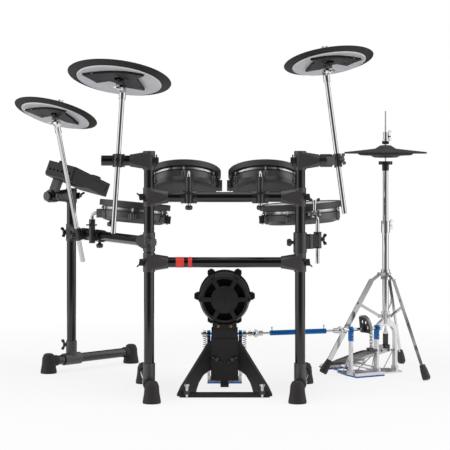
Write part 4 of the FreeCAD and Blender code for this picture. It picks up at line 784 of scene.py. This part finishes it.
@dataclass
class Cymbal:
    """One rubber cymbal pad on its rod and tilter, with the small parts of its underside."""

    name: str
    radius: float
    side: float = 1.0
    bell: float = 0.042
    bell_height: float = -0.008
    edge_share: float = 0.82
    edge_height: float = -0.0245
    plate: Pair = (0.28, 0.80)
    facing: float = 0.05
    housing_share: float = 0.78
    housing_step: float = 0.0045
    felt: Pair = (-0.0145, 0.0235)
    stud: float = 0.0043
    bead_share: float = 0.805
    bead: Outline = ((-0.0024, 0.001), (-0.0024, -0.0022), (-0.00096, -0.0034), (0.00096, -0.0030),
                     (0.0024, -0.0014), (0.0024, 0.001))
    screws: Outline = ((-0.52, 0.34), (-0.30, -0.36), (0.38, 0.05), (-0.12, 0.36), (0.16, 0.40))
    screw_head: Bar = (0.0042, 0.0016, 0.0005, 20)
    screw_socket: Bar = (0.0018, 0.0020, 0.0, 6)
    screw_depth: float = 0.0136
    cap: Outline = ((0.0, -0.006), (0.007, -0.0054), (0.011, -0.003), (0.0125, 0.0), (0.0125, 0.002),
                    (0.0, 0.002))
    cap_spot: Pair = (-0.17, 0.05)
    cap_depth: float = 0.0145
    jack: Outline = ((0.0026, -0.001), (0.0026, 0.0012), (0.0034, 0.0018), (0.0046, 0.0012), (0.0048, -0.001))
    jack_spot: Pair = (0.36, 0.461)
    jack_depth: float = 0.008

    def axis(self) -> Axis:
        """The pad's axis through its stud, square to the hinge.

        Returns:
            The axis, with its middle on the pad's seat.
        """
        seat = joint_spot(f"{self.name}_rock")
        lean = seat - joint_spot(f"{self.name}_tilt")
        return Axis(seat, (lean - lean.project(joint_way(f"{self.name}_tilt"))).normalized())

    def level(self, radius: Number) -> Number:
        """Height of the bow's underside so far from the stud."""
        slope = (self.edge_height - self.bell_height) / (self.radius * self.edge_share - self.bell)
        return (radius - self.bell) * slope + self.bell_height

    def depth(self, shader: Shader) -> Signal:
        """Height of a point over the bow's underside, less than nought below it."""
        return self.axis().height(shader) - self.level(self.axis().radius(shader))

    def plate_mask(self, shader: Shader) -> Signal:
        """Where the silver underside plate shows."""
        flat = (self.depth(shader) > -self.housing_step) * (shader.facing(self.axis().normal) < self.facing)
        return flat * self.axis().radius(shader).between(*(self.radius * share for share in self.plate))

    def housing_mask(self, shader: Shader) -> Signal:
        """Where the dark sensor housing stands under the plate."""
        near = self.axis().radius(shader) < self.radius * self.housing_share
        return near * (self.depth(shader) < -self.housing_step)

    def bright_mask(self, shader: Shader) -> Signal:
        """Where the tilter is bright metal and not felt."""
        felt = self.axis().height(shader).between(*self.felt) * (self.axis().radius(shader) > self.stud)
        return 1.0 - felt

    def spot(self, share: Pair, depth: float) -> Matrix:
        """Place of a small part so deep under the bow, across and ahead by shares of the radius."""
        flat = Vector((share[0], share[1] * self.side, 0.0)) * self.radius
        return Matrix.Translation(flat + UP * (self.level(flat.length) - depth))

    def fit(self, former: Former, part: str, finish: Finish, slot: Slot) -> None:
        """Move a shape from the pad's frame to its place and let it ride on the pad."""
        former.moved(self.axis().square(joint_way(f"{self.name}_tilt")))
        former.piece(f"{self.name}_{part}", finish, f"{self.name}_pad", slot)

    def build(self) -> None:
        """Dress the rod, tilter and pad, and fit the small parts."""
        WARDROBE.dress(f"{self.name}_rod", Paint.CHROME)
        WARDROBE.dress(f"{self.name}_tilter", Paint.DARK_FELT, (Paint.HOOP, self.bright_mask))
        WARDROBE.dress(f"{self.name}_pad", Paint.CYMBAL, (Paint.PLATE, self.plate_mask),
                       (Paint.HOUSING, self.housing_mask))
        self.small_parts()

    def small_parts(self) -> None:
        """The pale bead, the screws in the housing's face, the round cap and the brass jack."""
        middle = self.radius * self.bead_share
        bead = tuple((middle + out, self.level(middle) + up) for out, up in self.bead)
        self.fit(Former().lathe(bead, steps=128), "bead", Paint.PALE_LINE, Slot.CYMBAL)
        screws = Former()
        for share in self.screws:
            place = self.spot(share, self.screw_depth) @ Matrix.Rotation(math.pi, 4, "X")
            screws.drum(self.screw_head, place).drum(self.screw_socket, place)
        self.fit(screws, "screws", Paint.CAM, Slot.CHROME)
        cap = Former().lathe(self.cap, steps=40, place=self.spot(self.cap_spot, self.cap_depth), ring=False)
        self.fit(cap, "cap", Paint.KNOB, Slot.CYMBAL)
        turn = Matrix.Rotation(-self.side * math.pi / 2, 4, "X")
        jack = Former().lathe(self.jack, steps=28, place=self.spot(self.jack_spot, self.jack_depth) @ turn)
        self.fit(jack, "jack", Paint.BRASS, Slot.CHROME)


@dataclass
class DrumPad:
    """One mesh-headed drum pad with a chrome hoop under its rim and a saddle behind each tension rod."""

    name: str
    radius: float
    lugs: int = 6
    bright_bracket: bool = False
    rim: Pair = (-0.0205, FAR)
    # faces that point further down than this get the painted shade
    underside: float = -0.8
    rod_inset: float = 0.0135
    rod_span: Pair = (-0.032, -0.019)
    cheek_half: float = 0.0186
    cheek_rise: float = 0.0146
    cheek_end: float = 0.036
    hoop: Outline = ((-0.0135, -0.0295), (-0.0085, -0.0295), (-0.0085, -0.0275), (-0.0105, -0.0265),
                     (-0.0105, -0.0208), (-0.0135, -0.0208))
    saddle: Triple = (0.012, 0.030, 0.027)
    saddle_spot: Pair = (-0.0112, -0.0525)
    saddle_round: float = 0.0052
    bracket_lee: float = 0.85

    def axis(self) -> Axis:
        """The pad's axis, through the middle of its head."""
        return head_axis(f"{self.name}_head")

    def eye(self) -> Vector:
        """The middle of the pad's tilting eye."""
        return joint_spot(f"{self.name}_tilt")

    def painted_shade_under_mask(self, shader: Shader) -> Signal:
        """Painted shade: the shell's faces that point down, drawn darker and rougher."""
        return shader.facing(self.axis().normal) < self.underside

    def bracket_mask(self, shader: Shader) -> Signal:
        """Where the plated cheeks hold the pad's tilting eye."""
        across, ahead, rise = (shader.along(way, self.eye()) for way in (ACROSS, AHEAD, UP))
        return (across.size() < self.cheek_half) * (rise.size() < self.cheek_rise) * (ahead < self.cheek_end)

    def build(self) -> None:
        """Dress the shell, its rim, rods and bracket, and the head, and fit the hoop and the saddles."""
        axis = self.axis()
        rods = axis.within((self.radius - self.rod_inset, FAR), self.rod_span)
        # the first zone is painted shade on the shell's downward faces
        zones = [(Paint.SHADED_UNDERSIDE, self.painted_shade_under_mask), (Paint.RIM, axis.within(height=self.rim)),
                 (Paint.CHROME, rods)]
        if self.bright_bracket:
            zones.append((Paint.PLATED, self.bracket_mask))
        WARDROBE.dress(f"{self.name}_shell", Paint.SHELL, *zones)
        WARDROBE.dress(f"{self.name}_head", WovenHead())
        outline = tuple((self.radius + out, height) for out, height in self.hoop)
        hoop = Former().lathe(outline, steps=96, place=axis.matrix())
        hoop.piece(f"{self.name}_hoop", Paint.HOOP, self.name, Slot.CHROME)
        self.saddles()

    def saddles(self) -> None:
        """Saddles on the shell's wall, one behind each rod but for the one where the bracket stands."""
        axis = self.axis()
        ahead = axis.normal.cross(ACROSS).normalized()
        place = axis.square(ahead.cross(axis.normal))
        bracket = (place.inverted() @ self.eye()).xy.normalized()
        out, height = self.saddle_spot
        spot = Matrix.Translation((self.radius + out, 0.0, height))
        former = Former()
        for index in range(self.lugs):
            turn = Matrix.Rotation(2.0 * math.pi * (index + 0.5) / self.lugs, 4, "Z")
            if (turn @ ACROSS).xy.dot(bracket) < self.bracket_lee:
                former.block(self.saddle, turn @ spot, self.saddle_round, segments=4)
        former.moved(place).piece(f"{self.name}_saddles", Paint.SHELL, self.name, Slot.PAD)


@dataclass
class SoundModule:
    """The sound module with its display, keys, lamps, jacks, controls and bracket."""

    volume_spot: Pair = (-0.095, 0.038)
    dial_spot: Pair = (0.088, -0.020)
    glass: Triple = (0.0794, 0.0394, 0.0010)
    glass_spot: Triple = (-0.020, 0.030, -0.0006)
    glass_round: float = 0.0003
    key: Triple = (0.0096, 0.0085, 0.0030)
    key_round: float = 0.0010
    key_rise: float = 0.0010
    key_rows: Triple = (-0.008, -0.028, -0.048)
    key_span: Pair = (-0.060, 0.020)
    keys_in_row: int = 6
    lamp: Bar = (0.0012, 0.0012, 0.0003, 14)
    lamp_spot: Pair = (0.0025, -0.0002)
    jack: Outline = ((0.0033, -0.002), (0.0033, 0.0006), (0.0040, 0.0012), (0.0052, 0.0008),
                     (0.0054, -0.0004))
    jack_spot: Triple = (-0.1335, -0.050, -0.0325)
    jack_pitch: float = 0.020
    jacks: int = 6
    finishes: dict[str, Finish] = field(default_factory=lambda: {
        "module_body": Paint.MODULE, "module_panel": Paint.PANEL, "module_bracket": Paint.CASTING,
        "volume_knob": Paint.KNOB, "data_dial": Paint.KNOB, "start_button": Paint.KNOB,
        "stop_button": Paint.KNOB})

    def place(self) -> Matrix:
        """The panel's own frame, worked out from two of its controls.

        Returns:
            A rigid matrix whose nought is the middle of the panel's face.
        """
        axis = Axis(joint_spot("volume_turn"), joint_way("volume_turn"))
        run = Vector(self.dial_spot) - Vector(self.volume_spot)
        turn = Matrix.Rotation(-math.atan2(run.y, run.x), 3, axis.normal)
        across = turn @ (joint_spot("dial_turn") - axis.centre).normalized()
        return axis.square(across) @ Matrix.Translation((*self.volume_spot, 0.0)).inverted()

    def fit(self, former: Former, part: str, finish: Finish, slot: Slot) -> None:
        """Move a shape from the panel's frame to its place and let it ride on the module."""
        former.moved(self.place()).piece(f"module_{part}", finish, "module", slot)

    def build(self) -> None:
        """Dress the module and fit its display, keys, lamps and jacks."""
        for node, finish in self.finishes.items():
            WARDROBE.dress(node, finish)
        glass = Former().block(self.glass, Matrix.Translation(self.glass_spot), self.glass_round)
        self.fit(glass, "display", Paint.SCREEN, Slot.PANEL)
        self.keys()
        self.side_jacks()

    def keys(self) -> None:
        """Rows of soft keys under the display, and a lamp over each key of the first row."""
        left, right = self.key_span
        caps, lamps = Former(), Former()
        for index in range(self.keys_in_row):
            across = left + (right - left) * (index + 0.5) / self.keys_in_row
            for ahead in self.key_rows:
                place = Matrix.Translation((across, ahead, self.key_rise))
                caps.block(self.key, place, self.key_round, segments=3)
            lamps.drum(self.lamp, Matrix.Translation((across, *self.lamp_spot)))
        self.fit(caps, "keys", Paint.KNOB, Slot.KNOB)
        self.fit(lamps, "lamps", Paint.AMBER, Slot.KNOB)

    def side_jacks(self) -> None:
        """A ring round each jack in the module's short side."""
        former = Former()
        for index in range(self.jacks):
            spot = Matrix.Translation(Vector(self.jack_spot) + AHEAD * (self.jack_pitch * index))
            former.lathe(self.jack, steps=24, place=spot @ Matrix.Rotation(-math.pi / 2, 4, "Y"))
        self.fit(former, "jacks", Paint.CAM, Slot.CHROME)


@dataclass
class Kick:
    """The kick tower, its drum and its head."""

    front: Triple = (0.0, 0.120, 0.344)
    # radius and depth of the painted shade inside the shell
    shaded_inside: tuple[Pair, Pair] = ((-FAR, 0.0815), (0.0085, FAR))
    rod_ends: tuple[Pair, Pair] = ((0.1039, 0.1131), (0.1275, 0.1338))
    screw_side: float = 0.024
    screw_front: float = 0.1387
    screw_height: float = 0.241
    screw_radius: float = 0.0054

    def screw_mask(self, shader: Shader) -> Signal:
        """The brass screws in the column's shoulder."""
        off_screw = (shader.along(ACROSS).size() - self.screw_side).span(shader.along(UP) - self.screw_height)
        return (off_screw < self.screw_radius) * (shader.along(AHEAD) < self.screw_front)

    def build(self) -> None:
        """Dress the tower, the shell with painted shade over its inside and its rod ends, and the head."""
        axis = Axis(Vector(self.front), AHEAD)
        WARDROBE.dress("kick_tower", Paint.KICK, (Paint.BRASS, self.screw_mask))
        # Painted shade: the shell's inside, within the bore and behind its front, is drawn near black.
        WARDROBE.dress("kick_shell", Paint.KICK, (Paint.PAINTED_SHADE_RECESS, axis.within(*self.shaded_inside)),
                       (Paint.CAM, axis.within(*self.rod_ends)))
        WARDROBE.dress("kick_head", WovenHead())


@dataclass
class Pedal:
    """One pedal of the pair: its place, and the masks of the pieces that turn on its axle."""

    place: Matrix
    axle_height: float = 0.188
    cam: Pair = (-0.0086, 0.0086)
    chain: Pair = (0.0478, FAR)
    screw_face: Pair = (-0.02, -0.0102)
    screw_top: float = 0.1735
    screw_reach: float = 0.08

    def axle(self) -> Axis:
        """The pedal's axle."""
        return Axis(self.place @ (UP * self.axle_height), self.place.to_3x3() @ ACROSS)

    def zones(self) -> tuple[tuple[Finish, Mask], ...]:
        """The dark sprocket in the middle of the axle, and the chain that lies round it."""
        return ((Paint.CAM, self.axle().within(height=self.cam)),
                (Paint.CHAIN, self.axle().within(self.chain, self.cam)))

    def screw_mask(self, shader: Shader) -> Signal:
        """The screws in the near faces of the two bearing blocks.

        Args:
            shader: the shader to add to.

        Returns:
            One on the screws, otherwise nought.
        """
        face = shader.along(self.place.to_3x3() @ AHEAD, self.place.translation).between(*self.screw_face)
        near = self.axle().height(shader).size() < self.screw_reach
        return face * near * (shader.along(UP) < self.screw_top)


@dataclass
class Pedals:
    """The double pedal: frames, boards, axles, springs and chains."""

    main: Pedal = field(default_factory=lambda: Pedal(Matrix.Translation((0.0, 0.352, 0.0))))
    slave: Pedal = field(default_factory=lambda: Pedal(
        Matrix.Translation((0.562, 0.505, 0.0)) @ Matrix.Rotation(math.radians(28.0), 4, "Z")))
    base_height: float = 0.0062
    edge_facing: float = 0.5
    sleeve: tuple[Pair, Pair] = ((-FAR, 0.0106), (0.0615, 0.2960))
    felt_height: float = 0.285
    spring_wire: float = 0.0012
    spring_turns: int = 16
    spring_crisp: float = 80.0
    links: int = 6
    link_end: float = 0.0025
    link_plate: Pair = (0.0014, 0.0052)
    link_overlap: float = 0.0048
    link_round: float = 0.0006
    link_spread: Pair = (0.0049, 0.0036)
    pin: Bar = (0.0015, 0.0124, 0.0004, 14)
    roller: Bar = (0.0023, 0.0064, 0.0003, 16)

    def edge_mask(self, shader: Shader) -> Signal:
        """The blue edges of the base plates."""
        return (shader.along(UP) < self.base_height) * (shader.facing(UP).size() < self.edge_facing)

    def build(self) -> None:
        """Dress the pedals, wind the springs and link the chains."""
        WARDROBE.dress("pedal_frames", Paint.ALLOY, (Paint.BLUE, self.edge_mask))
        WARDROBE.dress("bearing_caps", Paint.BLUE, (Paint.BRASS, self.main.screw_mask),
                       (Paint.BRASS, self.slave.screw_mask))
        felt = (Paint.FELT, slab(UP, self.felt_height, FAR))
        WARDROBE.dress("main_axle", Paint.PLATED, *self.main.zones(), felt)
        WARDROBE.dress("second_beater", Paint.PLATED, felt)
        WARDROBE.dress("slave_axle", Paint.PLATED, *self.slave.zones())
        shaft = Axis(joint_spot("shaft_turn"), joint_way("shaft_turn"))
        WARDROBE.dress("drive_shaft", Paint.PLATED, (Paint.BLUE, shaft.within(*self.sleeve)))
        self.spring("main_spring")
        self.spring("second_spring")
        for side, pedal in (("main", self.main), ("slave", self.slave)):
            WARDROBE.dress(f"{side}_footboard", Paint.BOARD)
            self.chain(f"{side}_chain", f"{side}_footboard", pedal.place)

    def spring(self, node: str) -> None:
        """Wind one spring in place of its solid.

        Args:
            node: the spring's node.
        """
        low, high = node_box(node)
        middle = (low + high) / 2
        radius = (high.x - low.x) / 2 - self.spring_wire
        length = high.z - low.z - 2 * self.spring_wire
        place = Matrix.Translation((middle.x, middle.y, low.z + self.spring_wire))
        coil = Former().coil(radius, self.spring_wire, length, self.spring_turns).moved(place)
        item = coil.piece(f"{node}_coil", Paint.STEEL, None, Slot.STEEL, self.spring_crisp)
        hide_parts(node)
        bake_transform(item)

    def chain(self, node: str, other: str, place: Matrix) -> None:
        """Link one chain drop in place of its solid.

        Args:
            node: the chain's node.
            other: the footboard that pulls its foot; not used.
            place: the pedal's place.
        """
        low, high = node_box(node)
        middle = (low + high) / 2
        foot, top = (place.inverted() @ Vector((middle.x, middle.y, end.z)) for end in (low, high))
        pitch = (top.z - foot.z - 2 * self.link_end) / self.links
        former = Former()
        for index in range(self.links):
            spot = foot + UP * (self.link_end + pitch * index)
            self.crossbar(former, self.pin, spot)
            self.crossbar(former, self.roller, spot)
            spread = ACROSS * self.link_spread[index % 2]
            for side in (-spread, spread):
                plate = Matrix.Translation(spot + UP * (pitch / 2) + side)
                former.block((*self.link_plate, pitch + self.link_overlap), plate, self.link_round)
        self.crossbar(former, self.pin, top - UP * self.link_end)
        item = former.moved(place).piece(f"{node}_links", Paint.CHAIN, None, Slot.STEEL)
        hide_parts(node)
        tuple(place @ top)
        tuple(place @ foot)
        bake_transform(item)

    @staticmethod
    def crossbar(former: Former, bar: Bar, spot: Vector) -> None:
        """Lay a pin or a roller across the chain, its middle on a spot."""
        start = Matrix.Translation(spot - ACROSS * (bar[1] / 2))
        former.drum(bar, start @ Matrix.Rotation(math.pi / 2, 4, "Y"))


@dataclass
class HiHat:
    """The hi-hat stand with its pad and pedal."""

    foot_reach: float = 0.265
    foot_height: float = 0.012
    bend_reach: float = 0.062
    bend_height: float = 0.374
    boot_length: float = 0.0523
    strap_height: float = 0.158
    cup_height: float = 0.8255
    felts: tuple[Pair, Pair] = ((0.8895, 0.9045), (0.9335, 0.9465))
    felt_bore: float = 0.0057
    finishes: dict[str, Finish] = field(default_factory=lambda: {
        "hihat_frame": Paint.ALLOY, "hihat_lower_tube": Paint.CHROME, "hihat_collar": Paint.PLATED,
        "hihat_footboard": Paint.PALE_BOARD, "hihat_pad": Paint.HAT})

    def centre(self) -> Vector:
        """The stand's upright axis at the floor."""
        spot = joint_spot("hihat_rock")
        return Vector((spot.x, spot.y, 0.0))

    def boot_mask(self, index: int) -> Mask:
        """The rubber boot at the foot of a leg.

        Args:
            index: the leg's number.

        Returns:
            A mask for the leg's finish.
        """
        outward = joint_spot(f"hihat_leg_{index}_fold") - self.centre()
        outward = Vector((outward.x, outward.y, 0.0)).normalized()
        foot = self.centre() + outward * self.foot_reach + UP * self.foot_height
        bend = self.centre() + outward * self.bend_reach + UP * self.bend_height
        return slab((bend - foot).normalized(), -FAR, self.boot_length, foot)

    def build(self) -> None:
        """Dress the stand with its cup, strap, felts and boots, its pad and its pedal."""
        for node, finish in self.finishes.items():
            WARDROBE.dress(node, finish)
        axis = Axis(self.centre(), UP)
        felts = [(Paint.DARK_FELT, axis.within((self.felt_bore, FAR), felt)) for felt in self.felts]
        strap = (Paint.CASTING, slab(UP, -FAR, self.strap_height))
        WARDROBE.dress("hihat_pull_rod", Paint.CHROME, strap, *felts)
        WARDROBE.dress("hihat_upper_tube", Paint.CHROME, (Paint.CASTING, slab(UP, self.cup_height, FAR)))
        for index in (1, 2, 3):
            WARDROBE.dress(f"hihat_leg_{index}", Paint.PLATED, (Paint.RUBBER, self.boot_mask(index)))
            WARDROBE.dress(f"hihat_brace_{index}", Paint.PLATED)


class Lamp(Enum):
    """Soft boxes: place, width, height and power."""

    LEFT = ((-3.2, -1.6, 2.2), 2.4, 2.6, 52.0)
    RIGHT = ((3.2, -1.6, 2.0), 2.4, 2.6, 44.0)
    TOP = ((0.0, -0.4, 3.6), 3.0, 1.6, 44.0)


@dataclass
class Studio:
    """Floor, world, soft boxes and the camera of the photograph."""

    eye: Triple = (0.0, -5.55, 0.91)
    sensor: float = 36.0
    lens: float = 120.0
    shift: Pair = (0.0009, -75.0 / 450.0)
    view_end: float = 60.0
    aim: Triple = (0.0, 0.3, 0.7)
    floor_half: float = 2.3
    floor_sink: float = 0.0005
    world_light: float = 0.45
    mirror_peak: float = 1.9
    mirror_lean: float = 0.35
    mirror: Outline = ((0.0, 0.035), (0.07, 0.15), (0.20, 0.60), (0.40, 1.0), (0.58, 0.70), (0.72, 0.10),
                       (1.0, 0.05))

    def world(self) -> None:
        """White where it is seen, dimmer as a light, and for reflections a bright ring round a dark front."""
        world = bpy.data.worlds.new("studio_world")
        bpy.context.scene.world = world
        world.use_nodes = True
        graph = Graph(world.node_tree)
        path = graph.node("ShaderNodeLightPath").outputs
        seen, glossy, passed = (Signal(graph, path[f"Is {ray} Ray"])
                                for ray in ("Camera", "Glossy", "Transmission"))
        way = graph.node("ShaderNodeTexCoord").outputs["Generated"]
        parts = graph.node("ShaderNodeSeparateXYZ", None, {0: way}).outputs
        depth = Signal(graph, parts["Y"]) - Signal(graph, parts["Z"]) * self.mirror_lean
        ramp = graph.node("ShaderNodeValToRGB", {"stops": self.mirror}, {0: depth * 0.5 + 0.5})
        mirrored = Signal(graph, ramp.outputs["Color"]) * self.mirror_peak
        light = self.world_light + glossy.most(passed) * (mirrored - self.world_light)
        background = graph.node("ShaderNodeBackground", None, {
            "Color": WHITE, "Strength": light + seen * (1.0 - light)})
        graph.node("ShaderNodeOutputWorld", None, {"Surface": background.outputs[0]})

    def floor(self) -> None:
        """Lay the pale floor a hair under the feet."""
        pale = PaleFloor()
        former = Former()
        bmesh.ops.create_grid(former.mesh, x_segments=1, y_segments=1, size=self.floor_half)
        former.moved(Matrix.Translation(Vector(pale.middle) - UP * self.floor_sink))
        former.piece("studio_floor", pale)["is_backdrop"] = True

    def lamps(self) -> None:
        """Hang the soft boxes."""
        for lamp in Lamp:
            place, width, height, power = lamp.value
            data = bpy.data.lights.new(f"softbox_{lamp.name.lower()}", "AREA")
            data.shape = "RECTANGLE"
            data.size = width
            data.size_y = height
            data.energy = power
            item = bpy.data.objects.new(data.name, data)
            item.location = place
            item.visible_glossy = False
            item.rotation_euler = (Vector(self.aim) - Vector(place)).to_track_quat("-Z", "Y").to_euler()
            bpy.context.scene.collection.objects.link(item)

    def camera(self) -> None:
        """Stand the camera where the photograph was taken from."""
        data = bpy.data.cameras.new("photo_camera")
        data.sensor_width = self.sensor
        data.lens = self.lens
        data.shift_x, data.shift_y = self.shift
        data.clip_end = self.view_end
        item = bpy.data.objects.new("photo_camera", data)
        item.location = self.eye
        item.rotation_euler = (math.pi / 2, 0.0, 0.0)
        bpy.context.scene.collection.objects.link(item)
        bpy.context.scene.camera = item

    def build(self) -> None:
        bpy.context.scene.view_settings.view_transform = "Standard"
        self.world()
        self.floor()
        self.lamps()
        self.camera()


def write_sizes() -> None:
    boxes = [[list(corner) for corner in box] for box in (CAD_BOX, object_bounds())]


def main() -> None:
    logging.basicConfig(level=logging.INFO, format="%(message)s")
    parts = [Studio(), Rack(), Cymbal("ride", 0.194), Cymbal("crash_right", 0.169, -1.0),
             Cymbal("crash_left", 0.169), DrumPad("tom_left", 0.139), DrumPad("tom_right", 0.139),
             DrumPad("floor_tom", 0.139), DrumPad("snare", 0.1625, 8, bright_bracket=True), SoundModule(),
             Kick(), Pedals(), HiHat()]
    for part in parts:
        part.build()
    write_sizes()


if __name__ == "__main__":
    main()
